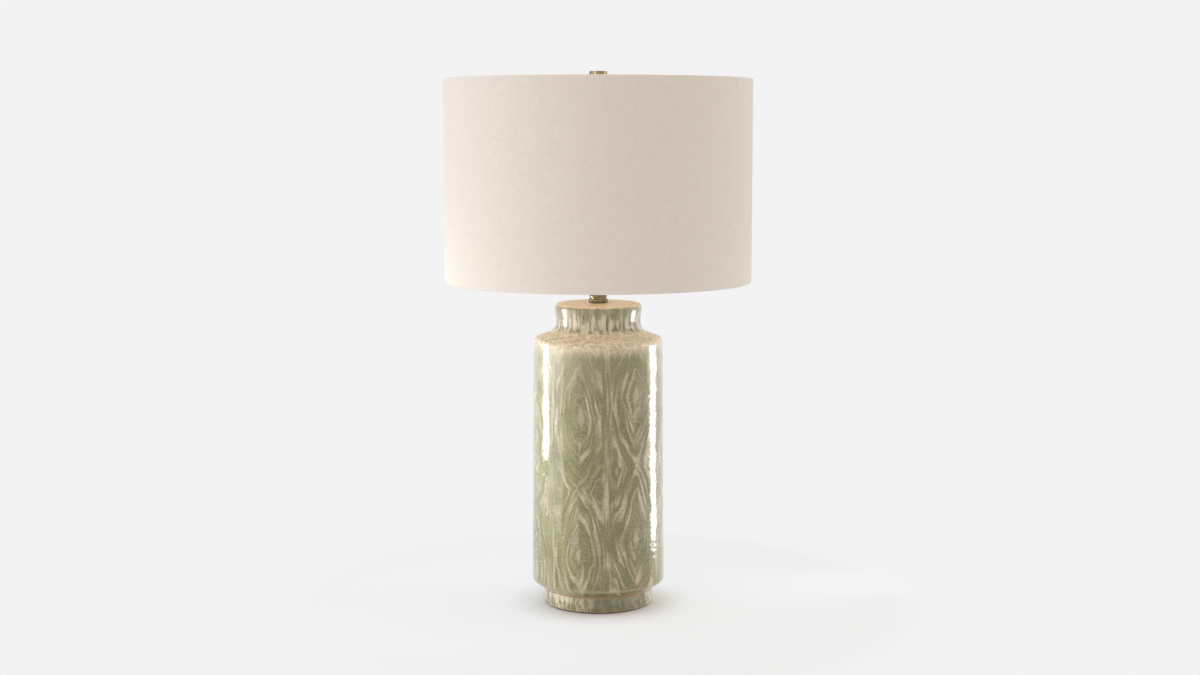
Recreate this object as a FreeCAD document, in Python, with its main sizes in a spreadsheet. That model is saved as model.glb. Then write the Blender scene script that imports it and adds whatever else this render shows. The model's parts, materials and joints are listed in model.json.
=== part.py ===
import math
import os
import re

import FreeCAD
import Part
import Sketcher

# A table lamp: a tall straight glazed jar on a stepped foot, a short turned brass neck,
# a drum shade hung from a harp by its spider, and a flat-topped finial.
# Millimetres, +Z up, the origin on the table at the jar's axis, the front towards -Y.

Vector = FreeCAD.Vector
Rotation = FreeCAD.Rotation
doc = FreeCAD.newDocument("TableLamp")

# ---------------------------------------------------------------- driving dimensions
SIZES = [
    ("pad_inset", 3.3, "soft pad under the foot, in from the foot's side"),
    ("pad_thickness", 1.6, "the pad, on the table"),
    ("pad_edge", 0.5, "chamfer of the pad's lower edge"),
    ("foot_step", 15.2, "the jar's foot, in from its widest part"),
    ("foot_height", 20.5, "foot's straight side, up to the chamfer"),
    ("foot_edge_round", 2.6, "lower edge of the foot"),
    ("foot_fillet", 3.8, "inner corner between foot and chamfer"),
    ("foot_ring", 13.8, "width of the ring that the foot stands on"),
    ("recess_depth", 10.0, "hollow under the floor of the jar"),
    ("floor_thickness", 7.0, "the jar's floor"),
    ("belly_radius", 89.0, "widest part of the jar"),
    ("chamfer_height", 10.3, "slope from the foot out to the widest part"),
    ("belly_round", 5.8, "rounding of the slope's upper edge"),
    ("side_taper", 2.6, "how far the side leans in on its way up"),
    ("side_height", 326.6, "the side, from the slope up to the shoulder's edge"),
    ("shoulder_round", 7.7, "rounding of the shoulder's edge"),
    ("shoulder_width", 28.5, "the shoulder, from its edge in to the collar"),
    ("shoulder_rise", 10.3, "how far the shoulder rises to the collar"),
    ("collar_fillet_share", 1.03, "sweep into the collar, as a share of the collar's rise"),
    ("collar_inset", 1.5, "the collar's waist, in from its foot"),
    ("collar_rise", 14.9, "from the collar's foot up to its waist"),
    ("collar_sweep_share", 2.15, "curve through the waist, as a share of that rise"),
    ("lip_overhang", 1.7, "the lip, out from the waist"),
    ("lip_rise", 14.0, "from the waist up to the lip's lower edge"),
    ("lip_fillet", 20.0, "curve into the lip"),
    ("lip_flat", 1.7, "straight part of the lip, under its rounding"),
    ("lip_height", 7.5, "the lip, up to the jar's flat top"),
    ("jar_wall", 6.0, "thickness of the glazed wall"),
    ("deck_thickness", 7.0, "the jar's flat top"),
    ("rod_hole", 6.0, "radius of the holes in floor and top"),
    ("inlet_height", 48.0, "centre of the cord's inlet above the foot ring"),
    ("inlet_hole", 6.35, "radius of the inlet's hole in the wall"),
    ("rod_radius", 4.8, "threaded pipe through the lamp"),
    ("rod_bore", 3.3, "its bore, for the cord"),
    ("rod_reach", 1.3, "pipe that shows below the nut"),
    ("thread_gap", 0.1, "between the pipe and what is screwed on it"),
    ("slip_gap", 0.3, "between the pipe and what slips over it"),
    ("base_washer_radius", 19.0, "large steel washer"),
    ("base_washer_thickness", 1.6, "large steel washer"),
    ("spring_washer_radius", 8.4, "split washer"),
    ("spring_washer_thickness", 1.6, "split washer"),
    ("spring_washer_slit", 1.2, "the cut through it"),
    ("nut_flats", 14.3, "hexagon nuts, across flats"),
    ("base_nut_thickness", 4.0, "nut under the floor"),
    ("saddle_nut_thickness", 3.2, "nut on the saddle"),
    ("bushing_gap", 0.15, "between the bushing and the wall's hole"),
    ("bushing_bore", 3.9, "the cord's way in"),
    ("bushing_flange", 8.6, "flange radius of the bushing"),
    ("bushing_flange_thickness", 1.8, "flange of the bushing"),
    ("bushing_lug", 0.55, "how far the snap ridge stands out"),
    ("bushing_tail", 3.6, "bushing past the inner face of the wall"),
    ("gasket_radius", 10.6, "soft washer under the neck"),
    ("gasket_thickness", 0.8, "soft washer under the neck"),
    ("neck_height", 38.0, "turned brass neck"),
    ("neck_bead_radius", 13.2, "bead at the foot of the neck"),
    ("neck_bead_height", 5.4, "that bead"),
    ("neck_groove_radius", 10.4, "groove above the bead"),
    ("neck_groove_height", 1.0, "groove above the bead"),
    ("neck_ring_radius", 11.8, "second, smaller bead"),
    ("neck_ring_height", 3.4, "second, smaller bead"),
    ("neck_waist_radius", 7.4, "slim part of the neck"),
    ("neck_top_radius", 10.0, "cap of the neck"),
    ("neck_top_height", 4.6, "cap of the neck"),
    ("saddle_half", 28.5, "half the saddle's width over its wings"),
    ("saddle_plate", 1.4, "thickness of the saddle's strip"),
    ("saddle_depth", 12.7, "width of the saddle's strip"),
    ("saddle_bend", 3.2, "outer radius of the strip's bends"),
    ("wing_height", 10.0, "wing above the strip"),
    ("tongue_height", 11.0, "narrow tongue above the wing"),
    ("tongue_width", 3.3, "narrow tongue above the wing"),
    ("harp_height", 241.3, "from the saddle's strip to the seat of the shade"),
    ("harp_wire", 1.75, "radius of the harp's wire"),
    ("harp_half", 60.0, "half the harp's greatest width, to the wire's middle"),
    ("harp_leg_height", 43.0, "where the legs start to flare"),
    ("harp_side_low", 98.0, "lower end of the upright sides"),
    ("harp_side_high", 186.0, "upper end of the upright sides"),
    ("harp_top_half", 15.0, "half of the flat top"),
    ("harp_leg_bend", 26.0, "bend out of the leg"),
    ("harp_side_bend", 62.0, "bend into the upright side"),
    ("harp_shoulder_bend", 44.0, "bend over the shoulder"),
    ("harp_top_bend", 12.0, "bend into the flat top"),
    ("harp_eye_radius", 6.4, "disc in the middle of the flat top"),
    ("harp_gap", 0.1, "between the leg's flat and the saddle's tongue"),
    ("ferrule_bore", 2.4, "sleeve over leg and tongue"),
    ("ferrule_radius", 3.2, "sleeve over leg and tongue"),
    ("ferrule_length", 13.0, "sleeve over leg and tongue"),
    ("ferrule_edge", 0.25, "its chamfers"),
    ("part_gap", 0.2, "under legs and sleeves that lift off the saddle"),
    ("seat_gap", 0.05, "between seat, washer and finial, which turn on one another"),
    ("stud_seat_radius", 7.5, "seat on top of the harp"),
    ("stud_seat_height", 3.2, "seat on top of the harp"),
    ("stud_shank", 2.1, "shank riveted through the harp"),
    ("stud_head_radius", 4.0, "rivet head below the harp"),
    ("stud_head_height", 1.6, "rivet head below the harp"),
    ("stud_radius", 3.05, "threaded stud"),
    ("stud_length", 10.5, "threaded stud above the seat"),
    ("shade_radius", 203.2, "drum shade, outside"),
    ("shade_height", 266.7, "drum shade"),
    ("spider_drop", 13.8, "shade's top above the harp's seat"),
    ("fabric_thickness", 0.5, "the shade's linen"),
    ("liner_thickness", 0.6, "stiff sheet behind the linen"),
    ("layer_gap", 0.2, "glue line between the layers of the shade"),
    ("fold_drop", 3.0, "height over which the turned-in linen reaches the liner"),
    ("fold_height", 11.0, "linen turned in over each ring"),
    ("ring_wire", 1.6, "radius of the wire of the shade's rings"),
    ("washer_radius", 12.7, "washer in the middle of the spider"),
    ("washer_thickness", 1.4, "washer in the middle of the spider"),
    ("washer_hole", 3.4, "its hole, over the stud"),
    ("arm_wire", 1.5, "radius of the spider's arms"),
    ("arm_start", 9.0, "where an arm meets the washer"),
    ("arm_rise_start", 30.0, "where an arm starts to rise, in from the ring"),
    ("arm_rise_end", 12.0, "where it is level again, in from the ring"),
    ("arm_bend", 10.0, "radius of an arm's bends"),
    ("arm_count", 3, "arms of the spider"),
    ("notch_gap", 0.5, "room round an arm in the turned-in linen"),
    ("finial_height", 22.5, "finial"),
    ("finial_radius", 11.9, "finial's cylinder"),
    ("finial_hub_radius", 6.2, "hub under the cylinder"),
    ("finial_hub_height", 3.6, "hub under the cylinder"),
    ("finial_cone_height", 2.0, "cone from the hub to the cylinder"),
    ("finial_edge", 0.7, "edges of the cylinder"),
    ("stud_gap", 0.08, "between stud and finial"),
    ("stud_tip_gap", 1.2, "between the stud's tip and the end of the finial's hole"),
    ("cap_hub_radius", 7.4, "threaded hub of the socket's cap"),
    ("cap_hub_height", 8.0, "threaded hub of the socket's cap"),
    ("cap_bell_height", 12.0, "curved part of the cap"),
    ("cap_skirt_height", 6.0, "straight part of the cap"),
    ("cap_radius", 16.8, "the cap, outside"),
    ("cap_wall", 0.7, "the cap's wall"),
    ("set_screw_radius", 1.5, "set screw in the hub"),
    ("set_screw_head", 2.5, "its head"),
    ("set_screw_head_height", 1.6, "its head"),
    ("shell_gap", 0.2, "between cap and shell"),
    ("shell_wall", 0.6, "the socket's brass shell"),
    ("shell_height", 42.0, "the socket's brass shell"),
    ("shell_overlap", 5.0, "how far the shell reaches into the cap"),
    ("shell_bead", 0.5, "bead round the shell's mouth"),
    ("shell_bead_height", 2.4, "bead round the shell's mouth"),
    ("sleeve_gap", 0.3, "between the shell and its paper sleeve"),
    ("sleeve_wall", 0.8, "paper sleeve"),
    ("block_radius", 11.3, "body of the switch"),
    ("block_height", 14.0, "body of the switch"),
    ("block_flange_gap", 0.3, "between its flange and the sleeve"),
    ("block_flange_height", 3.6, "flange on top of the switch"),
    ("block_start", 1.5, "the switch above the shell's lower edge"),
    ("terminal_head", 2.7, "heads of the two terminal screws"),
    ("terminal_height", 1.8, "heads of the two terminal screws"),
    ("screw_shell_bore", 13.2, "threaded shell that takes the bulb"),
    ("screw_shell_wall", 0.4, "threaded shell that takes the bulb"),
    ("screw_shell_height", 20.0, "threaded shell that takes the bulb"),
    ("contact_radius", 3.6, "contact in the middle of the socket"),
    ("contact_height", 1.5, "contact in the middle of the socket"),
    ("switch_level", 8.5, "switch axis above the bottom of the block"),
    ("shaft_radius", 1.6, "switch shaft"),
    ("shaft_depth", 8.0, "how far the shaft reaches into the block"),
    ("running_gap", 0.05, "shaft in its bore"),
    ("shaft_out", 14.0, "shaft past the shell"),
    ("collar_hole", 4.2, "hole in shell and sleeve for the shaft"),
    ("knob_radius", 5.2, "switch knob"),
    ("knob_length", 13.0, "switch knob"),
    ("knob_start", 3.2, "knob's near face past the shell"),
    ("knob_flute", 0.9, "radius of the grooves round the knob"),
    ("knob_flutes", 10, "grooves round the knob"),
    ("bulb_length", 112.0, "lamp bulb, from its contact to its crown"),
    ("bulb_radius", 30.0, "lamp bulb"),
    ("bulb_wall", 0.9, "glass of the bulb"),
    ("bulb_neck_radius", 14.2, "glass just above the bulb's cap"),
    ("bulb_neck_height", 30.0, "there, above the contact"),
    ("bulb_cap_radius", 13.0, "screw cap of the bulb"),
    ("bulb_cap_height", 26.0, "top of the screw cap above the contact"),
    ("bulb_cap_bottom", 7.0, "bottom of the thread above the contact"),
    ("bulb_cap_wall", 0.5, "screw cap of the bulb"),
    ("bulb_button_radius", 4.6, "contact button of the bulb"),
    ("bulb_button_height", 1.8, "contact button of the bulb"),
    ("bulb_thread", 0.7, "depth of the bulb's rolled thread"),
    ("bulb_thread_pitch", 3.6, "pitch of that thread"),
    ("cut_margin", 1.0, "how far a cut runs past what it cuts"),
]

sheet = doc.addObject("Spreadsheet::Sheet", "Sizes")
for row, (size_name, size_value, size_note) in enumerate(SIZES, start=1):
    sheet.set(f"A{row}", size_note)
    sheet.set(f"B{row}", str(size_value))
    sheet.setAlias(f"B{row}", size_name)
doc.recompute()

# Roundings and small forms, as shares of the size that each belongs to.
BEAD_ROUND = 0.48
RING_ROUND = 0.6
EDGE_ROUND = 0.3
SEAT_ROUND = 0.25
HEAD_ROUND = 0.7
DOME_ROUND = 0.8
FLUTE_ROUND = 1.5
FLUTE_CENTRE = 1 / 3
CROWN_ROUND = 0.98
SWELL_ROUND = 1.2
THREAD_CREST = 0.15
ARM_SEAT = 0.6

# ---------------------------------------------------------------- the jar's section
# Radii and levels that follow from the sizes above, measured from the jar's foot ring.
FOOT_RADIUS = "(belly_radius - foot_step)"
BELLY_LEVEL = "(foot_height + chamfer_height)"
SHOULDER_RADIUS = "(belly_radius - side_taper)"
SHOULDER_LEVEL = f"({BELLY_LEVEL} + side_height)"
COLLAR_FOOT_RADIUS = f"({SHOULDER_RADIUS} - shoulder_width)"
COLLAR_FOOT_LEVEL = f"({SHOULDER_LEVEL} + shoulder_rise)"
COLLAR_RADIUS = f"({COLLAR_FOOT_RADIUS} - collar_inset)"
COLLAR_LEVEL = f"({COLLAR_FOOT_LEVEL} + collar_rise)"
LIP_RADIUS = f"({COLLAR_RADIUS} + lip_overhang)"
LIP_LEVEL = f"({COLLAR_LEVEL} + lip_rise)"
JAR_HEIGHT = f"({LIP_LEVEL} + lip_height)"

# ---------------------------------------------------------------- heights that follow
# Each is a formula of the sizes above, measured from the table.
JAR_BOTTOM = "pad_thickness"
FLOOR_UNDER = f"({JAR_BOTTOM} + recess_depth)"
NUT_TOP = f"({FLOOR_UNDER} - base_washer_thickness - spring_washer_thickness)"
NUT_BOTTOM = f"({NUT_TOP} - base_nut_thickness)"
JAR_TOP = f"({JAR_BOTTOM} + {JAR_HEIGHT})"
NECK_BOTTOM = f"({JAR_TOP} + gasket_thickness)"
SADDLE_BOTTOM = f"({NECK_BOTTOM} + neck_height)"
SADDLE_TOP = f"({SADDLE_BOTTOM} + saddle_plate)"
LEG_BOTTOM = "(wing_height + part_gap)"
CAP_BOTTOM = f"({SADDLE_TOP} + saddle_nut_thickness)"
CAP_HEIGHT = "(cap_hub_height + cap_bell_height + cap_skirt_height)"
SHELL_BOTTOM = f"({CAP_BOTTOM} + {CAP_HEIGHT} - shell_overlap)"
BLOCK_BOTTOM = f"({SHELL_BOTTOM} + block_start)"
BLOCK_TOP = f"({BLOCK_BOTTOM} + block_height + block_flange_height)"
BULB_BOTTOM = f"({BLOCK_TOP} + screw_shell_wall + contact_height + seat_gap)"
SWITCH_AXIS = f"({BLOCK_BOTTOM} + switch_level)"
SEAT = f"({SADDLE_TOP} + harp_height)"
WASHER_BOTTOM = f"({SEAT} + seat_gap)"
FINIAL_BOTTOM = f"({WASHER_BOTTOM} + washer_thickness + seat_gap)"
SHADE_BOTTOM = f"({WASHER_BOTTOM} + spider_drop - shade_height)"

# Radii that follow.
PIPE_THREAD = "(rod_radius + thread_gap)"
PIPE_SLIP = "(rod_radius + slip_gap)"
LEG_MIDDLE = "(saddle_half + harp_gap)"
SHELL_RADIUS = "(cap_radius - cap_wall - shell_gap)"
SLEEVE_RADIUS = f"({SHELL_RADIUS} - shell_wall - sleeve_gap)"
FLANGE_RADIUS = f"({SLEEVE_RADIUS} - sleeve_wall - block_flange_gap)"
RING_RADIUS = "(shade_radius - fabric_thickness - layer_gap - ring_wire)"

# Section of the shade's rims: the linen goes round a wire ring and back up the liner.
WALL_INSIDE = "(shade_radius - fabric_thickness)"
LINER_RADIUS = f"({WALL_INSIDE} - layer_gap)"
FOLD_OUTSIDE = f"({WALL_INSIDE} - 2 * layer_gap - 2 * ring_wire)"
FOLD_INSIDE = f"({FOLD_OUTSIDE} - fabric_thickness)"
TUCK_OUTSIDE = f"({LINER_RADIUS} - liner_thickness - layer_gap)"
TUCK_INSIDE = f"({TUCK_OUTSIDE} - fabric_thickness)"
RING_ZONE = "(fabric_thickness + 2 * layer_gap + 2 * ring_wire)"
RING_LEVEL = "(fabric_thickness + layer_gap + ring_wire)"
ROLL_OUTSIDE = "(ring_wire + fabric_thickness)"
ROLL_INSIDE = "ring_wire"
ARM_DROP = f"({RING_LEVEL} + {ARM_SEAT} * ring_wire)"


def bound(formula):
    """The formula with each size name pointed at the sheet."""
    return re.sub(r"\b[a-z]\w*\b(?!\()", r"Sizes.\g<0>", formula)


def value(formula):
    """What the formula comes to."""
    return float(sheet.evalExpression(bound(formula)))


# ---------------------------------------------------------------- bodies and sketches
UPRIGHT = Rotation()
TOWARDS_BACK = Rotation(Vector(1, 0, 0), -90)
TOWARDS_FRONT = Rotation(Vector(1, 0, 0), 90)
TOWARDS_RIGHT = Rotation(Vector(0, 1, 0), 90)
QUARTER_TURN = Rotation(Vector(0, 0, 1), 90)


def place(item, label, level, turn=UPRIGHT, across="0", back="0"):
    """Name a sub-part and put it at its height, turned, across and back."""
    item.Label = label
    item.Placement = FreeCAD.Placement(Vector(0, 0, 0), turn)
    item.setExpression("Placement.Base.x", bound(across))
    item.setExpression("Placement.Base.y", bound(back))
    item.setExpression("Placement.Base.z", bound(level))
    return item


def new_body(label, level="0", **where):
    """An empty body for one sub-part."""
    return place(doc.addObject("PartDesign::Body", label), label, level, **where)


def base_plane(body, role):
    """One of the planes or axes that a body brings with it."""
    return next(item for item in body.Origin.OriginFeatures if item.Role == role)


def new_sketch(body, name, plane, offset="0"):
    """An empty sketch on one of the body's planes, moved off it by an offset."""
    sketch = body.newObject("Sketcher::SketchObject", name)
    sketch.AttachmentSupport = (base_plane(body, plane), [""])
    sketch.MapMode = "FlatFace"
    sketch.setExpression("AttachmentOffset.Base.z", bound(offset))
    return sketch


def constrain(sketch, kind, where, formula):
    """A dimension that follows a formula."""
    number = sketch.addConstraint(Sketcher.Constraint(kind, *where, value(formula)))
    sketch.setExpression(f"Constraints[{number}]", bound(formula))


def pin(sketch, item, end, across, up):
    """Fix one point of the sketch at two formulas; a zero lies on the axis."""
    for kind, axis, formula in (("DistanceX", -2, across), ("DistanceY", -1, up)):
        if formula == "0":
            sketch.addConstraint(Sketcher.Constraint("PointOnObject", item, end, axis))
        else:
            constrain(sketch, kind, (-1, 1, item, end), formula)


def rounding(before, corner, after, radius):
    """Start, middle and end of the arc that rounds a corner."""
    back = (before - corner).normalize()
    ahead = (after - corner).normalize()
    half = back.getAngle(ahead) / 2
    reach = radius / math.tan(half)
    inward = (back + ahead).normalize()
    middle = corner + inward * (radius / math.sin(half) - radius)
    return corner + back * reach, middle, corner + ahead * reach


def end_at(sketch, arc, point):
    """Which end of an arc lies at the point."""
    first = sketch.getPoint(arc, 1).distanceToPoint(point)
    last = sketch.getPoint(arc, 2).distanceToPoint(point)
    return 1 if first < last else 2


def tie_corner(sketch, before, arc, after, corner, entry, leave):
    """Hold a rounding tangent to its two runs, which meet at the pinned corner."""
    across, up, radius = corner
    first = end_at(sketch, arc, entry)
    last = end_at(sketch, arc, leave)
    sketch.addConstraint(Sketcher.Constraint("Tangent", before, 2, arc, first))
    sketch.addConstraint(Sketcher.Constraint("Tangent", arc, last, after, 1))
    constrain(sketch, "Radius", (arc,), radius)
    point = sketch.addGeometry(Part.Point(Vector(value(across), value(up), 0)), True)
    pin(sketch, point, 1, across, up)
    sketch.addConstraint(Sketcher.Constraint("PointOnObject", point, 1, before))
    sketch.addConstraint(Sketcher.Constraint("PointOnObject", point, 1, after))


def outline(body, name, corners, plane="XZ_Plane", closed=True, offset="0"):
    """Straight runs from corner to corner; a third entry is the radius that rounds one."""
    sketch = new_sketch(body, name, plane, offset)
    points = [Vector(value(corner[0]), value(corner[1]), 0) for corner in corners]
    count = len(corners)
    arrive = list(points)
    leave = list(points)
    arcs = {}
    for index, corner in enumerate(corners):
        if len(corner) == 3:
            after = points[(index + 1) % count]
            shape = rounding(points[index - 1], points[index], after, value(corner[2]))
            arrive[index], middle, leave[index] = shape
            arcs[index] = sketch.addGeometry(Part.Arc(*shape))
    runs = []
    for index in range(count if closed else count - 1):
        run = Part.LineSegment(leave[index], arrive[(index + 1) % count])
        runs.append(sketch.addGeometry(run))
    for index, corner in enumerate(corners):
        if index in arcs:
            ends = (arrive[index], leave[index])
            tie_corner(sketch, runs[index - 1], arcs[index], runs[index], corner, *ends)
        elif index == len(runs):
            pin(sketch, runs[-1], 2, *corner)
        else:
            pin(sketch, runs[index], 1, *corner)
            if closed or index > 0:
                meet = Sketcher.Constraint("Coincident", runs[index - 1], 2, runs[index], 1)
                sketch.addConstraint(meet)
    return sketch


def circles(body, name, radii, plane="XY_Plane", offset="0", across="0", up="0"):
    """Circles round one middle."""
    sketch = new_sketch(body, name, plane, offset)
    middle = Vector(value(across), value(up), 0)
    for radius in radii:
        circle = sketch.addGeometry(Part.Circle(middle, Vector(0, 0, 1), value(radius)))
        pin(sketch, circle, 3, across, up)
        constrain(sketch, "Radius", (circle,), radius)
    return sketch


def rectangle(low_x, low_y, high_x, high_y):
    """Corners of an upright rectangle."""
    return [(low_x, low_y), (high_x, low_y), (high_x, high_y), (low_x, high_y)]


def hexagon(flats):
    """Corners of a hexagon with two points on the X axis."""
    point = f"{flats} / sqrt(3)"
    half = f"{flats} / (2 * sqrt(3))"
    side = f"{flats} / 2"
    right = [(f"-({half})", f"-({side})"), (half, f"-({side})"), (point, "0")]
    left = [(half, side), (f"-({half})", side), (f"-({point})", "0")]
    return right + left


# ---------------------------------------------------------------- features
def turned(label, level, corners, **where):
    """A body turned about its own Z from a half section."""
    body = new_body(label, level, **where)
    feature = body.newObject("PartDesign::Revolution", "Turned")
    feature.Profile = outline(body, "Section", corners)
    feature.ReferenceAxis = (feature.Profile[0], ["V_Axis"])
    feature.Angle = 360
    doc.recompute()
    return body


def pad(body, sketch, length, name="Pad", symmetric=False):
    """Solid from a sketch, upwards or to both sides."""
    feature = body.newObject("PartDesign::Pad", name)
    feature.Profile = sketch
    feature.SideType = "Symmetric" if symmetric else "One side"
    feature.setExpression("Length", bound(length))
    doc.recompute()
    return feature


def cut(body, sketch, name, length=None, forward=False, both=False):
    """A pocket against the sketch's normal, along it or both ways, and proof that it cuts."""
    before = body.Shape.Volume
    feature = body.newObject("PartDesign::Pocket", name)
    feature.Profile = sketch
    feature.SideType = "Symmetric" if both else "One side"
    feature.Reversed = forward
    if length:
        feature.setExpression("Length", bound(length))
    else:
        feature.Type = "ThroughAll"
    doc.recompute()
    if not body.Shape.Volume < before:
        raise RuntimeError(f"{body.Label}: {name} cuts nothing")
    return feature


def repeat(body, feature, times, name="Around"):
    """Copies of a feature round the body's Z."""
    pattern = body.newObject("PartDesign::PolarPattern", name)
    pattern.Originals = [feature]
    pattern.Axis = (base_plane(body, "Z_Axis"), [""])
    pattern.Angle = 360
    pattern.setExpression("Occurrences", bound(times))
    body.Tip = pattern
    doc.recompute()
    return pattern


def wire_along(body, path, radius, start, plane, offset):
    """A round wire along a path that starts square to a plane."""
    pipe = body.newObject("PartDesign::AdditivePipe", "Wire")
    pipe.Profile = circles(body, "WireSection", [radius], plane, offset, *start)
    doc.recompute()
    edges = [f"Edge{number + 1}" for number in range(len(path.Shape.Edges))]
    pipe.Spine = (path, edges)
    doc.recompute()
    return pipe


def ring(label, level, outside, inside, height, **where):
    """A flat ring: washer, sleeve or spacer."""
    body = new_body(label, level, **where)
    pad(body, circles(body, "Ring", [outside, inside]), height)
    return body


def hex_nut(label, level, height):
    """A hexagon nut on the pipe."""
    body = new_body(label, level)
    pad(body, outline(body, "Flats", hexagon("nut_flats"), "XY_Plane"), height)
    cut(body, circles(body, "Thread", [PIPE_THREAD]), "Bore", forward=True)
    return body


# ---------------------------------------------------------------- jar and foot
def jar_outside():
    """The jar's outer section, from the foot ring up to the middle of the top."""
    return [
        (FOOT_RADIUS, "0", "foot_edge_round"),
        (FOOT_RADIUS, "foot_height", "foot_fillet"),
        ("belly_radius", BELLY_LEVEL, "belly_round"),
        (SHOULDER_RADIUS, SHOULDER_LEVEL, "shoulder_round"),
        (COLLAR_FOOT_RADIUS, COLLAR_FOOT_LEVEL, "collar_rise * collar_fillet_share"),
        (COLLAR_RADIUS, COLLAR_LEVEL, "collar_rise * collar_sweep_share"),
        (LIP_RADIUS, LIP_LEVEL, "lip_fillet"),
        (LIP_RADIUS, JAR_HEIGHT, "lip_height - lip_flat"),
        ("rod_hole", JAR_HEIGHT),
    ]


def jar_inside():
    """The hollow's section, a wall's thickness in, from the top down to the floor."""
    deck = f"{JAR_HEIGHT} - deck_thickness"
    floor = "recess_depth + floor_thickness"
    return [
        ("rod_hole", deck),
        (f"{COLLAR_RADIUS} - jar_wall", deck, "jar_wall"),
        (f"{COLLAR_FOOT_RADIUS} - jar_wall", f"{COLLAR_FOOT_LEVEL} - jar_wall", "jar_wall"),
        (f"{SHOULDER_RADIUS} - jar_wall", f"{SHOULDER_LEVEL} - jar_wall", "jar_wall / 2"),
        ("belly_radius - jar_wall", f"{BELLY_LEVEL} + jar_wall / 2", "jar_wall / 2"),
        (f"{FOOT_RADIUS} - jar_wall", floor, "jar_wall / 2"),
        ("rod_hole", floor),
    ]


def jar_recess():
    """The hollow under the floor, inside the ring that the foot stands on."""
    inner = f"{FOOT_RADIUS} - foot_ring"
    return [
        ("rod_hole", "recess_depth"),
        (inner, "recess_depth", "foot_edge_round"),
        (inner, "0"),
    ]


def make_jar():
    """The glazed jar: two closed sections, since the hollow has no way out but the holes."""
    body = new_body("jar_body", JAR_BOTTOM)
    feature = body.newObject("PartDesign::Revolution", "Jar")
    feature.Profile = outline(body, "Outside", jar_outside() + jar_inside() + jar_recess())
    feature.ReferenceAxis = (feature.Profile[0], ["V_Axis"])
    feature.Angle = 360
    doc.recompute()
    inlet = circles(body, "Inlet", ["inlet_hole"], "XZ_Plane", up="inlet_height")
    cut(body, inlet, "InletHole")


def make_base():
    """Pad, washers and nut that close the jar's foot and pull the lamp together."""
    turned("base_pad", "0", [
        ("0", "0"),
        (f"{FOOT_RADIUS} - pad_inset - pad_edge", "0"),
        (f"{FOOT_RADIUS} - pad_inset", "pad_edge"),
        (f"{FOOT_RADIUS} - pad_inset", "pad_thickness"),
        ("0", "pad_thickness"),
    ])
    washer_level = f"({FLOOR_UNDER} - base_washer_thickness)"
    ring("base_washer", washer_level, "base_washer_radius", PIPE_SLIP, "base_washer_thickness")
    split = ring("base_spring_washer", NUT_TOP, "spring_washer_radius", PIPE_SLIP,
                 "spring_washer_thickness")
    slit = rectangle("0", "-spring_washer_slit / 2", "2 * spring_washer_radius",
                     "spring_washer_slit / 2")
    cut(split, outline(split, "Slit", slit, "XY_Plane"), "SlitCut", forward=True)
    hex_nut("base_nut", NUT_BOTTOM, "base_nut_thickness")
    rod_bottom = f"({NUT_BOTTOM} - rod_reach)"
    rod_height = f"{CAP_BOTTOM} + cap_hub_height - {rod_bottom}"
    ring("lamp_rod", rod_bottom, "rod_radius", "rod_bore", rod_height)


def make_bushing():
    """The snap bushing that lines the cord's hole in the back of the jar."""
    face = f"(belly_radius - (inlet_height - {BELLY_LEVEL}) * side_taper / side_height)"
    barrel = "(inlet_hole - bushing_gap)"
    flange_start = "(bushing_tail + jar_wall + bushing_gap)"
    end = f"({flange_start} + bushing_flange_thickness)"
    lug_top = "(bushing_tail - 2 * bushing_lug)"
    turned("cord_bushing", f"{JAR_BOTTOM} + inlet_height", [
        ("bushing_bore", "0"),
        (f"{barrel} - bushing_lug", "0"),
        ("inlet_hole + bushing_lug", lug_top),
        (barrel, lug_top),
        (barrel, flange_start),
        ("bushing_flange", flange_start),
        ("bushing_flange", end, f"bushing_flange_thickness * {DOME_ROUND}"),
        ("bushing_bore", end, "bushing_flange_thickness / 2"),
    ], turn=TOWARDS_BACK, back=f"{face} - jar_wall - bushing_tail")


# ---------------------------------------------------------------- neck and saddle
def make_neck():
    """Soft washer and turned brass neck: two beads, a slim waist and a cap."""
    ring("neck_gasket", JAR_TOP, "gasket_radius", PIPE_SLIP, "gasket_thickness")
    groove = "(neck_bead_height + neck_groove_height)"
    ring_top = f"({groove} + neck_ring_height)"
    cap = "(neck_height - neck_top_height)"
    turned("neck", NECK_BOTTOM, [
        (PIPE_SLIP, "0"),
        ("neck_bead_radius", "0", f"neck_bead_height * {BEAD_ROUND}"),
        ("neck_bead_radius", "neck_bead_height", f"neck_bead_height * {BEAD_ROUND}"),
        ("neck_groove_radius", "neck_bead_height"),
        ("neck_groove_radius", groove),
        ("neck_ring_radius", groove, f"neck_ring_height * {EDGE_ROUND}"),
        ("neck_ring_radius", ring_top, f"neck_ring_height * {RING_ROUND}"),
        ("neck_waist_radius", f"{ring_top} + neck_ring_height / 2", "neck_ring_height"),
        ("neck_waist_radius", f"{cap} - neck_ring_height / 2", "neck_ring_height"),
        ("neck_top_radius", cap, f"neck_top_height * {EDGE_ROUND}"),
        ("neck_top_radius", "neck_height", f"neck_top_height * {EDGE_ROUND}"),
        (PIPE_SLIP, "neck_height"),
    ])


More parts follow.
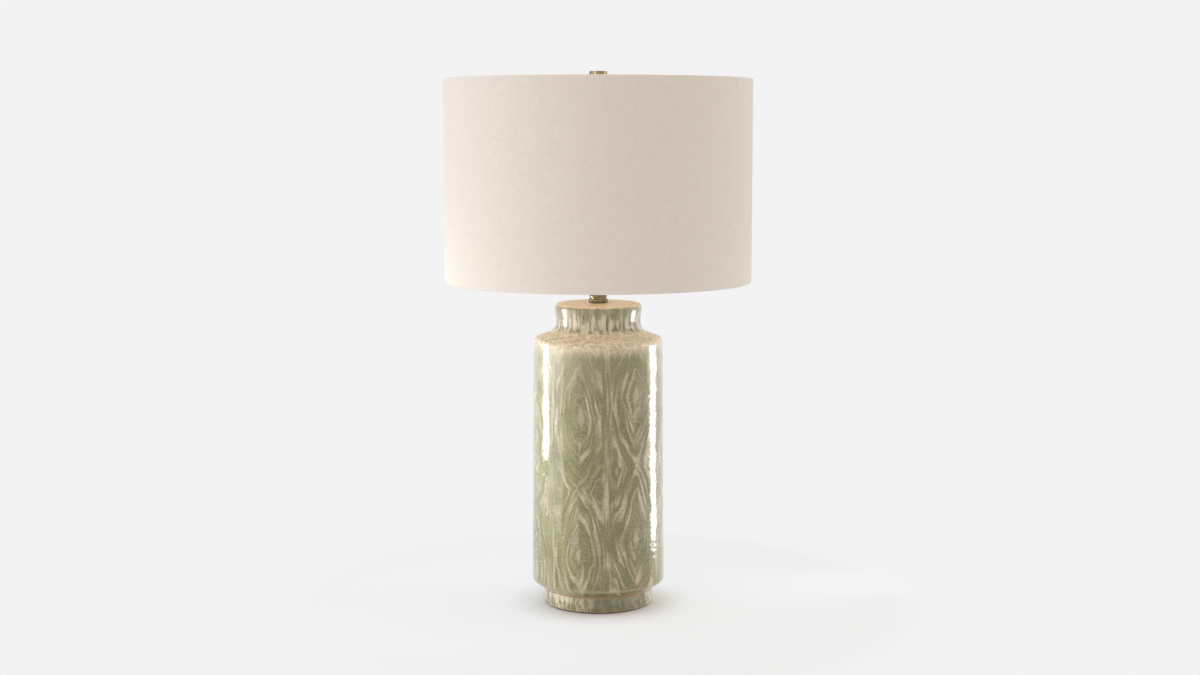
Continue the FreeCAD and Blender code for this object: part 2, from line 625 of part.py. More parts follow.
def make_saddle():
    """The strip under the socket, with upturned wings whose tongues hold the harp."""
    body = new_body("harp_saddle", SADDLE_BOTTOM)
    inner = "(saddle_half - saddle_plate)"
    top = "(saddle_plate + wing_height + tongue_height)"
    inner_bend = "(saddle_bend - saddle_plate)"
    strip = outline(body, "Strip", [
        ("-saddle_half", "0", "saddle_bend"),
        ("saddle_half", "0", "saddle_bend"),
        ("saddle_half", top),
        (inner, top),
        (inner, "saddle_plate", inner_bend),
        (f"-{inner}", "saddle_plate", inner_bend),
        (f"-{inner}", top),
        ("-saddle_half", top),
    ])
    pad(body, strip, "saddle_depth", "StripPad", symmetric=True)
    wing = "(saddle_plate + wing_height)"
    shoulder = "(ferrule_radius + harp_gap)"
    for side, name in (("", "Right"), ("-", "Left")):
        taper = outline(body, f"{name}Taper", [
            (f"{side}saddle_depth", "saddle_bend"),
            (f"{side}saddle_depth / 2", "saddle_bend"),
            (f"{side}{shoulder}", wing),
            (f"{side}tongue_width / 2", wing),
            (f"{side}tongue_width / 2", f"{top} + cut_margin"),
            (f"{side}saddle_depth", f"{top} + cut_margin"),
        ], "YZ_Plane")
        cut(body, taper, f"{name}TaperCut", both=True)
    cut(body, circles(body, "Hole", [PIPE_SLIP]), "PipeHole", forward=True)
    hex_nut("saddle_nut", SADDLE_TOP, "saddle_nut_thickness")


# ---------------------------------------------------------------- harp
def make_harp():
    """The bent wire that carries the shade, flattened where it meets the saddle."""
    body = new_body("harp", SADDLE_TOP)
    top = "(harp_height - stud_seat_height - harp_wire)"
    path = outline(body, "Bow", [
        (f"-{LEG_MIDDLE}", LEG_BOTTOM),
        (f"-{LEG_MIDDLE}", "harp_leg_height", "harp_leg_bend"),
        ("-harp_half", "harp_side_low", "harp_side_bend"),
        ("-harp_half", "harp_side_high", "harp_shoulder_bend"),
        ("-harp_top_half", top, "harp_top_bend"),
        ("harp_top_half", top, "harp_top_bend"),
        ("harp_half", "harp_side_high", "harp_shoulder_bend"),
        ("harp_half", "harp_side_low", "harp_side_bend"),
        (LEG_MIDDLE, "harp_leg_height", "harp_leg_bend"),
        (LEG_MIDDLE, LEG_BOTTOM),
    ], closed=False)
    wire_along(body, path, "harp_wire", (f"-{LEG_MIDDLE}", "0"), "XY_Plane", LEG_BOTTOM)
    eye = circles(body, "Eye", ["harp_eye_radius"], offset=f"{top} - harp_wire")
    pad(body, eye, "2 * harp_wire", "EyePad")
    flat_top = f"{LEG_BOTTOM} + tongue_height + part_gap"
    for side in ("-", ""):
        flat = rectangle(f"{side}({LEG_MIDDLE} - 2 * harp_wire)", f"{LEG_BOTTOM} - cut_margin",
                         f"{side}{LEG_MIDDLE}", flat_top)
        name = "Left" if side else "Right"
        cut(body, outline(body, f"{name}Flat", flat), f"{name}FlatCut", both=True)
    under = f"{top} - harp_wire - cut_margin"
    shank_hole = circles(body, "EyeHole", ["stud_shank + thread_gap"], offset=under)
    cut(body, shank_hole, "EyeBore", forward=True)


def make_stud():
    """The stud riveted through the harp's eye; its seat carries the shade."""
    seat = "(stud_head_height + 2 * harp_wire)"
    threads = f"({seat} + stud_seat_height)"
    tip = f"({threads} + stud_length)"
    turned("harp_stud", f"{SEAT} - {threads}", [
        ("0", "0"),
        ("stud_head_radius", "0", f"stud_head_height * {HEAD_ROUND}"),
        ("stud_head_radius", "stud_head_height"),
        ("stud_shank", "stud_head_height"),
        ("stud_shank", seat),
        ("stud_seat_radius", seat),
        ("stud_seat_radius", threads, f"stud_seat_height * {SEAT_ROUND}"),
        ("stud_radius", threads),
        ("stud_radius", tip, f"stud_radius * {EDGE_ROUND}"),
        ("0", tip),
    ])


def make_ferrules():
    """The two sleeves that lock the harp's legs to the saddle's tongues."""
    for side, label in (("-", "harp_ferrule_left"), ("", "harp_ferrule_right")):
        turned(label, f"{SADDLE_TOP} + {LEG_BOTTOM}", [
            ("ferrule_bore", "0"),
            ("ferrule_radius - ferrule_edge", "0"),
            ("ferrule_radius", "ferrule_edge"),
            ("ferrule_radius", "ferrule_length - ferrule_edge"),
            ("ferrule_radius - ferrule_edge", "ferrule_length"),
            ("ferrule_bore", "ferrule_length"),
        ], across=f"{side}{LEG_MIDDLE}")


# ---------------------------------------------------------------- socket and switch
def make_socket_cap():
    """The brass cap on the pipe, with its set screw."""
    bell = "(cap_hub_height + cap_wall)"
    skirt = "(cap_hub_height + cap_bell_height)"
    inside = "(cap_radius - cap_wall)"
    body = turned("socket_cap", CAP_BOTTOM, [
        (PIPE_THREAD, "0"),
        ("cap_hub_radius", "0", "cap_wall"),
        ("cap_hub_radius", "cap_hub_height", "cap_wall"),
        ("cap_radius", skirt, "cap_bell_height / 2"),
        ("cap_radius", CAP_HEIGHT),
        (inside, CAP_HEIGHT),
        (inside, skirt, "cap_bell_height / 2 - cap_wall"),
        ("cap_hub_radius - cap_wall", bell, "cap_wall"),
        (PIPE_THREAD, bell),
    ])
    hole = circles(body, "SetScrew", ["set_screw_radius + thread_gap"], "YZ_Plane",
                   up="cap_hub_height / 2")
    cut(body, hole, "SetScrewHole", forward=True)
    reach = "(cap_hub_radius - rod_radius)"
    turned("socket_set_screw", f"{CAP_BOTTOM} + cap_hub_height / 2", [
        ("0", "0"),
        ("set_screw_radius", "0"),
        ("set_screw_radius", reach),
        ("set_screw_head", reach),
        ("set_screw_head", f"{reach} + set_screw_head_height", "set_screw_head_height / 2"),
        ("0", f"{reach} + set_screw_head_height"),
    ], turn=TOWARDS_RIGHT, across="rod_radius + thread_gap")


def make_shells():
    """The brass shell, its paper sleeve and the threaded shell for the bulb."""
    mouth = "(shell_height - shell_bead_height)"
    inside = f"({SHELL_RADIUS} - shell_wall)"
    shell = turned("socket_shell", SHELL_BOTTOM, [
        (inside, "0"),
        (SHELL_RADIUS, "0"),
        (SHELL_RADIUS, mouth),
        (f"{SHELL_RADIUS} + shell_bead", f"{mouth} + shell_bead", "shell_bead / 2"),
        (f"{SHELL_RADIUS} + shell_bead", "shell_height", "shell_bead"),
        (inside, "shell_height"),
    ])
    sleeve = ring("socket_sleeve", SHELL_BOTTOM, SLEEVE_RADIUS,
                  f"{SLEEVE_RADIUS} - sleeve_wall", "shell_height - shell_bead_height / 2")
    for body in (shell, sleeve):
        hole = circles(body, "ShaftHole", ["collar_hole"], "XZ_Plane",
                       up="block_start + switch_level")
        cut(body, hole, "ShaftHoleCut", forward=True)
    outside = "(screw_shell_bore + screw_shell_wall)"
    turned("screw_shell", BLOCK_TOP, [
        ("contact_radius + sleeve_gap", "0"),
        (outside, "0", "screw_shell_wall * 2"),
        (outside, "screw_shell_height"),
        ("screw_shell_bore", "screw_shell_height"),
        ("screw_shell_bore", "screw_shell_wall", "screw_shell_wall"),
        ("contact_radius + sleeve_gap", "screw_shell_wall"),
    ])
    turned("socket_contact", BLOCK_TOP, [
        ("0", "0"),
        ("contact_radius", "0"),
        ("contact_radius", "screw_shell_wall + contact_height / 3"),
        ("contact_radius / 2", "screw_shell_wall + contact_height", "contact_height"),
        ("0", "screw_shell_wall + contact_height"),
    ])


def make_switch():
    """The moulded switch block, its terminal screws, and the shaft and knob that turn."""
    top = "(block_height + block_flange_height)"
    block = turned("switch_block", BLOCK_BOTTOM, [
        ("0", "0"),
        ("block_radius", "0", "cap_wall"),
        ("block_radius", "block_height"),
        (FLANGE_RADIUS, "block_height"),
        (FLANGE_RADIUS, top),
        ("0", top),
    ])
    bore = circles(block, "ShaftBore", ["shaft_radius + running_gap"], "XZ_Plane",
                   "block_radius - shaft_depth", up="switch_level")
    cut(block, bore, "ShaftBoreCut", forward=True)
    holes = circles(block, "TerminalHole", ["terminal_head / 2 + thread_gap"], "YZ_Plane",
                    up="block_height / 2")
    cut(block, holes, "TerminalHoles", both=True)
    make_terminals()
    make_knob()


def make_terminals():
    """One node for the pair of terminal screws, heads outwards."""
    body = new_body("terminal_screws", f"{BLOCK_BOTTOM} + block_height / 2")
    length = "(block_radius / 2)"
    shank = circles(body, "Shank", ["terminal_head / 2"], "YZ_Plane", f"block_radius - {length}")
    pad(body, shank, length, "ShankPad")
    head = circles(body, "Head", ["terminal_head"], "YZ_Plane", "block_radius")
    pad(body, head, "terminal_height", "HeadPad")
    other = doc.addObject("Part::Mirroring", "OtherTerminal")
    other.Source = body
    other.Normal = Vector(1, 0, 0)
    pair = doc.addObject("Part::Compound", "TerminalPair")
    pair.Links = [body, other]
    body.Label = "terminal_screw"
    pair.Label = "terminal_screws"
    doc.recompute()


def make_knob():
    """The turn knob on its shaft, which points to the front."""
    shaft_length = f"({SHELL_RADIUS} + shaft_out - block_radius + shaft_depth)"
    shaft = doc.addObject("Part::Cylinder", "Shaft")
    place(shaft, "switch_shaft", SWITCH_AXIS, TOWARDS_FRONT, back="shaft_depth - block_radius")
    shaft.setExpression("Radius", bound("shaft_radius"))
    shaft.setExpression("Height", bound(shaft_length))
    hole_end = "(shaft_out - knob_start + part_gap)"
    knob = turned("switch_knob", SWITCH_AXIS, [
        ("shaft_radius + running_gap", "0"),
        ("knob_radius", "0", "knob_flute / 2"),
        ("knob_radius", "knob_length", f"knob_flute * {FLUTE_ROUND}"),
        ("0", "knob_length"),
        ("0", hole_end),
        ("shaft_radius + running_gap", hole_end),
    ], turn=TOWARDS_FRONT, back=f"-({SHELL_RADIUS} + knob_start)")
    flute = circles(knob, "Flute", ["knob_flute"], offset="knob_flute",
                    across=f"knob_radius + knob_flute * {FLUTE_CENTRE}")
    first = cut(knob, flute, "FluteCut", forward=True)
    repeat(knob, first, "knob_flutes")


# ---------------------------------------------------------------- bulb
def make_bulb():
    """The lamp bulb: glass, screw cap, insulator and button."""
    crown = "(bulb_length - bulb_radius)"
    swell = f"({crown} - bulb_radius / 2)"
    edge = "(bulb_cap_radius - bulb_cap_wall)"
    crown_round = f"bulb_radius * {CROWN_ROUND}"
    swell_round = f"bulb_radius * {SWELL_ROUND}"
    turned("bulb_glass", BULB_BOTTOM, [
        (edge, "bulb_cap_height"),
        ("bulb_neck_radius", "bulb_neck_height", "bulb_neck_radius / 2"),
        ("bulb_radius", swell, swell_round),
        ("bulb_radius", "bulb_length", crown_round),
        ("0", "bulb_length"),
        ("0", "bulb_length - bulb_wall"),
        ("bulb_radius - bulb_wall", "bulb_length - bulb_wall", f"{crown_round} - bulb_wall"),
        ("bulb_radius - bulb_wall", swell, f"{swell_round} - bulb_wall"),
        ("bulb_neck_radius - bulb_wall", "bulb_neck_height + bulb_wall / 2", "bulb_neck_radius / 2"),
        (f"{edge} - bulb_wall", "bulb_cap_height"),
    ])
    make_bulb_cap()
    turned("bulb_insulator", BULB_BOTTOM, [
        ("0", "bulb_button_height"),
        ("bulb_button_radius", "bulb_button_height"),
        ("bulb_cap_radius - 2 * bulb_thread", "bulb_cap_bottom"),
        ("0", "bulb_cap_bottom"),
    ])
    turned("bulb_button", BULB_BOTTOM, [
        ("0", "0"),
        ("bulb_button_radius", "0", f"bulb_button_height * {DOME_ROUND}"),
        ("bulb_button_radius", "bulb_button_height"),
        ("0", "bulb_button_height"),
    ])


def make_bulb_cap():
    """The bulb's thin cap, with its rolled thread as round ridges."""
    root = "(bulb_cap_radius - bulb_thread)"
    turns = int(value("(bulb_cap_height - bulb_cap_bottom) / bulb_thread_pitch"))
    corners = [(f"{root} - bulb_cap_wall", "bulb_cap_bottom"), (root, "bulb_cap_bottom")]
    for turn in range(turns):
        middle = f"(bulb_cap_bottom + ({turn} + 0.5) * bulb_thread_pitch)"
        corners.append(("bulb_cap_radius", f"{middle} - {THREAD_CREST} * bulb_thread_pitch"))
        corners.append(("bulb_cap_radius", f"{middle} + {THREAD_CREST} * bulb_thread_pitch"))
        corners.append((root, f"{middle} + bulb_thread_pitch / 2"))
    corners.append((root, "bulb_cap_height"))
    corners.append((f"{root} - bulb_cap_wall", "bulb_cap_height"))
    turned("bulb_cap", BULB_BOTTOM, corners)


# ---------------------------------------------------------------- shade
def make_shade_rings():
    """The two wire rings inside the shade's rims."""
    levels = {
        "shade_ring_top": f"{SHADE_BOTTOM} + shade_height - {RING_LEVEL}",
        "shade_ring_bottom": f"{SHADE_BOTTOM} + {RING_LEVEL}",
    }
    for label, level in levels.items():
        wire = place(doc.addObject("Part::Torus", label), label, level)
        wire.setExpression("Radius1", bound(RING_RADIUS))
        wire.setExpression("Radius2", bound("ring_wire"))


def make_spider():
    """The washer on the harp's seat, with arms that rise to the upper ring."""
    body = new_body("shade_spider", WASHER_BOTTOM, turn=QUARTER_TURN)
    low = "(washer_thickness / 2)"
    high = f"(spider_drop - {ARM_DROP})"
    end = f"({RING_RADIUS} - ring_wire - layer_gap)"
    path = outline(body, "Arm", [
        ("arm_start", low),
        (f"{end} - arm_rise_start", low, "arm_bend"),
        (f"{end} - arm_rise_end", high, "arm_bend"),
        (end, high),
    ], closed=False)
    pad(body, circles(body, "Washer", ["washer_radius"]), "washer_thickness", "WasherPad")
    arm = wire_along(body, path, "arm_wire", ("0", low), "YZ_Plane", "arm_start")
    repeat(body, arm, "arm_count")
    cut(body, circles(body, "Hole", ["washer_hole"]), "StudHole", forward=True)


def make_liner():
    """The stiff sheet behind the linen, between the rings."""
    height = f"shade_height - 2 * ({RING_ZONE} + layer_gap)"
    ring("shade_liner", f"{SHADE_BOTTOM} + {RING_ZONE} + layer_gap", LINER_RADIUS,
         f"{LINER_RADIUS} - liner_thickness", height)


def make_fabric():
    """The linen, rolled over both rings and turned in, with notches for the arms."""
    tuck = f"({RING_ZONE} + fold_drop)"
    from_top = "shade_height - "
    body = turned("shade_fabric", SHADE_BOTTOM, [
        (TUCK_OUTSIDE, "fold_height"),
        (TUCK_OUTSIDE, tuck),
        (FOLD_OUTSIDE, RING_ZONE),
        (FOLD_OUTSIDE, "fabric_thickness", ROLL_INSIDE),
        (WALL_INSIDE, "fabric_thickness", ROLL_INSIDE),
        (WALL_INSIDE, f"{from_top}fabric_thickness", ROLL_INSIDE),
        (FOLD_OUTSIDE, f"{from_top}fabric_thickness", ROLL_INSIDE),
        (FOLD_OUTSIDE, f"{from_top}{RING_ZONE}"),
        (TUCK_OUTSIDE, f"{from_top}{tuck}"),
        (TUCK_OUTSIDE, f"{from_top}fold_height"),
        (TUCK_INSIDE, f"{from_top}fold_height"),
        (TUCK_INSIDE, f"{from_top}{tuck}"),
        (FOLD_INSIDE, f"{from_top}{RING_ZONE}"),
        (FOLD_INSIDE, "shade_height", ROLL_OUTSIDE),
        ("shade_radius", "shade_height", ROLL_OUTSIDE),
        ("shade_radius", "0", ROLL_OUTSIDE),
        (FOLD_INSIDE, "0", ROLL_OUTSIDE),
        (FOLD_INSIDE, RING_ZONE),
        (TUCK_INSIDE, tuck),
        (TUCK_INSIDE, "fold_height"),
    ], turn=QUARTER_TURN)
    half = "(arm_wire + notch_gap)"
    notch = rectangle(f"{FOLD_INSIDE} - cut_margin", f"-{half}", f"{RING_RADIUS} - ring_wire", half)
    level = f"shade_height - {ARM_DROP} + {half}"
    sketch = outline(body, "Notch", notch, "XY_Plane", offset=level)
    first = cut(body, sketch, "NotchCut", "fold_height")
    repeat(body, first, "arm_count")


def make_finial():
    """The flat-topped brass cylinder that holds the shade down."""
    cone = "(finial_hub_height + finial_cone_height)"
    bore = "(stud_radius + stud_gap)"
    depth = "(stud_length - washer_thickness - 2 * seat_gap + stud_tip_gap)"
    turned("finial", FINIAL_BOTTOM, [
        (bore, "0"),
        ("finial_hub_radius", "0"),
        ("finial_hub_radius", "finial_hub_height"),
        ("finial_radius", cone, "finial_edge"),
        ("finial_radius", "finial_height", "finial_edge"),
        ("0", "finial_height"),
        ("0", depth),
        (bore, depth),
    ])


# ---------------------------------------------------------------- build, check and export
NODES = [
    "base_pad", "jar_body", "base_washer", "base_spring_washer", "base_nut", "lamp_rod",
    "cord_bushing", "neck_gasket", "neck", "harp_saddle", "saddle_nut",
    "harp", "harp_stud", "harp_ferrule_left", "harp_ferrule_right",
    "socket_cap", "socket_set_screw", "socket_shell", "socket_sleeve", "screw_shell",
    "socket_contact", "switch_block", "terminal_screws", "switch_shaft", "switch_knob",
    "bulb_glass", "bulb_cap", "bulb_insulator", "bulb_button",
    "shade_ring_top", "shade_ring_bottom", "shade_spider", "shade_liner", "shade_fabric",
    "finial",
]


def check_objects():
    """Stop on any feature that failed without a word."""
    for item in doc.Objects:
        for state in ("Invalid", "Error"):
            if state in item.State:
                raise RuntimeError(f"{item.Name} ({item.Label}) is {item.State}")


def export():
    """Write each sub-part under its own name."""
    os.makedirs("parts", exist_ok=True)
    for label in NODES:
        item = doc.getObjectsByLabel(label)[0]
        if item.Shape.isNull() or not item.Shape.isValid():
            raise RuntimeError(f"{label} has no valid shape")
        item.Shape.exportStep(f"parts/{label}.step")
        box = item.Shape.BoundBox
        print(f"{label}: {len(item.Shape.Solids)} solid, {item.Shape.Volume:.0f} mm3, "
              f"z {box.ZMin:.2f} to {box.ZMax:.2f}, x {box.XMin:.2f} to {box.XMax:.2f}, "
              f"y {box.YMin:.2f} to {box.YMax:.2f}")


make_base()
make_jar()
make_bushing()
make_neck()
make_saddle()
make_harp()
make_stud()
make_ferrules()
make_socket_cap()
make_shells()
make_switch()
make_bulb()
make_shade_rings()
make_spider()
make_liner()
make_fabric()
make_finial()
doc.recompute()
check_objects()
export()
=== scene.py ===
"""Looks of a table lamp: glazed jar with a brushed wood grain, linen drum shade, brass parts."""
import json
import math
import bpy
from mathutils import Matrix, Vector, noise


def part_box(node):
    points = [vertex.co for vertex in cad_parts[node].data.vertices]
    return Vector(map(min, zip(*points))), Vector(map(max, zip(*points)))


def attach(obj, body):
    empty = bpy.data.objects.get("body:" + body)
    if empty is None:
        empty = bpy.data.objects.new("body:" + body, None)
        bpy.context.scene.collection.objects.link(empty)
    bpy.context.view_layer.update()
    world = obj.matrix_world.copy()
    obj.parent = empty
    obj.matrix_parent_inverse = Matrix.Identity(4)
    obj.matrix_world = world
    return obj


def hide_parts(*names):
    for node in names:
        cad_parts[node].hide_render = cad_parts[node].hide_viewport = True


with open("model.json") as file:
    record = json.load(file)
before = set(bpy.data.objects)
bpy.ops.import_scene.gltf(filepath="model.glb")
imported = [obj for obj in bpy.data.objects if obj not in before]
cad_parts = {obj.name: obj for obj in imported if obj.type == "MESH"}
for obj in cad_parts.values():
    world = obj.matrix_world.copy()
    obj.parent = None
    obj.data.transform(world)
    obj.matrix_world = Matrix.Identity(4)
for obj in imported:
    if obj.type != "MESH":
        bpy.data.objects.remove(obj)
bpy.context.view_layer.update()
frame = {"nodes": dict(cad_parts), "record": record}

MM = 0.001
FRONT = -math.pi / 2
BACK = math.pi / 2


def corners(node):
    """Lowest and highest corner of a node at rest, in millimetres."""
    low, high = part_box(node)
    return low / MM, high / MM


# Sizes in millimetres. Levels and outer sizes come from the frame, and the others are the CAD
# model's, apart from the lap, which is drawn here alone.
JAR_LEVEL = corners("jar_body")[0].z
INLET_LEVEL = (corners("cord_bushing")[0].z + corners("cord_bushing")[1].z) / 2
INLET_RADIUS = 6.35
PAD_RADIUS = corners("base_pad")[1].x
PAD_EDGE = 0.5
SHADE_LEVEL = corners("shade_fabric")[0].z
SHADE_HEIGHT = corners("shade_fabric")[1].z - SHADE_LEVEL
SHADE_RADIUS = corners("shade_fabric")[1].y
CLOTH = 0.5
LINER = 0.6
GLUE = 0.2
WIRE_RADIUS = 1.6
TURNED_IN = 11.0
TURN_SLOPE = 3.0
HALF_LAP = 6.0
ARM_TURNS = (90, 210, 330)


# ---------------------------------------------------------------- shader helpers
class Nodes:
    """A node tree, written as nested calls: every call returns the new node's first output."""

    def __init__(self, owner):
        owner.use_nodes = True
        self.tree = owner.node_tree
        self.tree.nodes.clear()

    def put(self, socket, value):
        if isinstance(value, bpy.types.NodeSocket):
            self.tree.links.new(value, socket)
        else:
            socket.default_value = value

    def add(self, kind, inputs=(), output=0, **settings):
        node = self.tree.nodes.new(kind)
        for name, value in settings.items():
            setattr(node, name, value)
        for name, value in dict(inputs).items():
            self.put(node.inputs[name], value)
        return node.outputs[output] if node.outputs else node

    def math(self, operation, *values):
        return self.add("ShaderNodeMath", enumerate(values), operation=operation)

    def plus(self, first, second):
        return self.math("ADD", first, second)

    def minus(self, first, second):
        return self.math("SUBTRACT", first, second)

    def times(self, first, second):
        return self.math("MULTIPLY", first, second)

    def size(self, value):
        return self.math("ABSOLUTE", value)

    def ramp(self, value, low, high, out_low=0.0, out_high=1.0):
        """A smooth step from out_low at low to out_high at high."""
        inputs = {0: value, 1: low, 2: high, 3: out_low, 4: out_high}
        return self.add("ShaderNodeMapRange", inputs, interpolation_type="SMOOTHSTEP")

    def mix(self, factor, first, second):
        inputs = {0: factor, 6: first, 7: second}
        return self.add("ShaderNodeMix", inputs, 2, data_type="RGBA", clamp_factor=True)

    def blend(self, factor, first, second):
        """The same for two numbers."""
        return self.add("ShaderNodeMix", {0: factor, 2: first, 3: second}, data_type="FLOAT")

    def place(self, x, y, z):
        return self.add("ShaderNodeCombineXYZ", {0: x, 1: y, 2: z})

    def scaled(self, at, across, up):
        """A point with its two level coordinates and its height scaled, to draw a noise out."""
        x, y, z = at
        return self.place(self.times(x, across), self.times(y, across), self.times(z, up))

    def noise(self, vector, scale, detail=2.0, rough=0.5):
        inputs = {"Vector": vector, "Scale": scale, "Detail": detail, "Roughness": rough}
        return self.add("ShaderNodeTexNoise", inputs)

    def signed_noise(self, vector, scale, size, detail=1.0):
        """Noise from about -size to size."""
        return self.times(self.minus(self.noise(vector, scale, detail), 0.5), 4.0 * size)

    def seen_directly(self):
        """1 for rays from the camera and for mirrored and refracted ones, 0 for scattered light."""
        path = self.tree.nodes.new("ShaderNodeLightPath").outputs
        mirrored = self.math("MAXIMUM", path["Is Glossy Ray"], path["Is Transmission Ray"])
        return self.math("MAXIMUM", path["Is Camera Ray"], mirrored)

    def object_point(self):
        """x, y, z of the surface in millimetres, fixed to the piece."""
        raw = self.add("ShaderNodeTexCoord", output="Object")
        point = self.add("ShaderNodeVectorMath", {0: raw, "Scale": 1 / MM}, operation="SCALE")
        return self.split(point)

    def split(self, vector):
        node = self.tree.nodes.new("ShaderNodeSeparateXYZ")
        self.put(node.inputs[0], vector)
        return tuple(node.outputs)

    def angle(self, x, y):
        """Angle round the Z axis, 0 at the front."""
        return self.math("ARCTAN2", x, self.times(y, -1.0))

    def bump(self, height, distance, strength=1.0, normal=None):
        inputs = {"Height": height, "Distance": distance, "Strength": strength}
        if normal is not None:
            inputs["Normal"] = normal
        return self.add("ShaderNodeBump", inputs)

    def finish(self, colour, rough, normal, **fixed):
        inputs = {"Base Color": colour, "Roughness": rough, "Normal": normal}
        inputs.update({name.replace("_", " "): value for name, value in fixed.items()})
        shader = self.add("ShaderNodeBsdfPrincipled", inputs)
        self.add("ShaderNodeOutputMaterial", {"Surface": shader})


def new_material(name):
    material = bpy.data.materials.new(name)
    return material, Nodes(material)


def rgb(red, green, blue):
    return (red, green, blue, 1.0)


# ---------------------------------------------------------------- plain finishes
def plain(name, colour, rough, grain=1.0, depth=0.08, relief=0.01, **fixed):
    """A solid finish with mottling: its grain and relief in millimetres, its depth as a share."""
    material, nodes = new_material(name)
    point = nodes.place(*nodes.object_point())
    mottle = nodes.noise(point, 1.0 / grain, 3.0)
    large = nodes.noise(point, 0.12 / grain, 2.0)
    dark = rgb(*(channel * (1 - depth) for channel in colour))
    light = rgb(*(min(1.0, channel * (1 + depth)) for channel in colour))
    both = nodes.times(nodes.plus(mottle, large), 0.5)
    shade = nodes.mix(nodes.ramp(both, 0.3, 0.7), dark, light)
    roughness = nodes.ramp(large, 0.3, 0.7, rough * 0.85, rough * 1.15)
    nodes.finish(shade, roughness, nodes.bump(mottle, relief * MM), **fixed)
    return material


def brass(name, colour, rough, tarnish, turned=True):
    """Lacquered brass with a warm film in patches, and turning lines or the grain of drawn wire."""
    material, nodes = new_material(name)
    x, y, z = nodes.object_point()
    point = nodes.place(x, y, z)
    if turned:
        lines = nodes.noise(nodes.place(0.0, 0.0, z), 6.0, 3.0, 0.7)
    else:
        lines = nodes.noise(point, 2.5, 3.0, 0.6)
    film = nodes.noise(point, 0.09, 3.0)
    shade = nodes.mix(nodes.ramp(film, 0.35, 0.7), rgb(*colour), rgb(*tarnish))
    shade = nodes.mix(nodes.ramp(lines, 0.35, 0.75, 0.0, 0.25), shade, rgb(*tarnish))
    roughness = nodes.plus(nodes.ramp(film, 0.3, 0.7, rough * 0.8, rough * 1.25),
                           nodes.ramp(lines, 0.3, 0.8, 0.0, 0.05))
    nodes.finish(shade, roughness, nodes.bump(lines, 0.006 * MM), Metallic=1.0)
    return material


# ---------------------------------------------------------------- glaze
# The grain: tall knots stand in columns round the jar, and brush strokes flow round them.
BODY_RADIUS = 88.5
COLUMNS = 7
COLUMN_SHIFT = 0.33
COLUMN_WIDTH = math.tau * BODY_RADIUS / COLUMNS
COLUMN_WANDER = 5.0
BETWEEN_COLUMNS = (29.0, 38.0)
KNOT_SPACING = 182.0
KNOT_SLOPE = 0.34
KNOT_POWER = 1.4
KNOT_WANDER = 14.0
FIRST_KNOT = 0.33
STREAK_WIDTH = 4.4
STREAK_LENGTH = 60.0
FINE_WIDTH = 0.4 * STREAK_WIDTH
FINE_LENGTH = 0.6 * STREAK_LENGTH

# The glaze thins between these levels above the table, in millimetres.
THIN_GLAZE = (270.0, 350.0)

# Levels above the foot ring at which one band gives way to the next, and the longest drip's
# length, in millimetres.
UNGLAZED_EDGE = (0.6, 2.4)
FOOT_TOP = (18.0, 23.0)
FOOT_LINE = 21.5
BELLY_LINE = 31.5
SHOULDER_START = (336.0, 357.0)
COLLAR_START = (366.0, 373.0)
DRIPS_END = (392.0, 397.0)
LIP_LINE_END = (399.5, 402.5)
TOP_START = (400.0, 403.0)
DRIP_LENGTH = 13.0

GREEN_DEEP = rgb(0.245, 0.25, 0.09)
GREEN_PALE = rgb(0.33, 0.335, 0.15)
OLIVE = rgb(0.13, 0.115, 0.02)
RIPPLE = rgb(0.42, 0.41, 0.24)
FINE_PALE = rgb(0.5, 0.45, 0.28)
FINE_DARK = rgb(0.14, 0.135, 0.04)
STREAK_DEEP = rgb(0.48, 0.425, 0.3)
STREAK_PALE = rgb(0.64, 0.57, 0.435)
KNOT_HEART = rgb(0.6, 0.55, 0.43)
THIN = rgb(0.5, 0.47, 0.31)
SAND_DEEP = rgb(0.62, 0.5, 0.3)
SAND_PALE = rgb(0.93, 0.8, 0.6)
TAN_DEEP = rgb(0.9, 0.62, 0.34)
TAN_PALE = rgb(1.0, 0.84, 0.56)
COLLAR_DEEP = rgb(0.17, 0.135, 0.05)
COLLAR_PALE = rgb(0.72, 0.63, 0.46)
LIP_GREEN = rgb(0.27, 0.25, 0.11)
FOOT_DEEP = rgb(0.23, 0.225, 0.09)
FOOT_PALE = rgb(0.8, 0.75, 0.56)
# Painted shade for the foot's front right.
FOOT_PAINTED_SHADE = rgb(0.115, 0.105, 0.025)
FOOT_BROWN = rgb(0.38, 0.23, 0.08)
BELLY_BROWN = rgb(0.5, 0.4, 0.22)
BARE_CLAY = rgb(0.6, 0.45, 0.29)


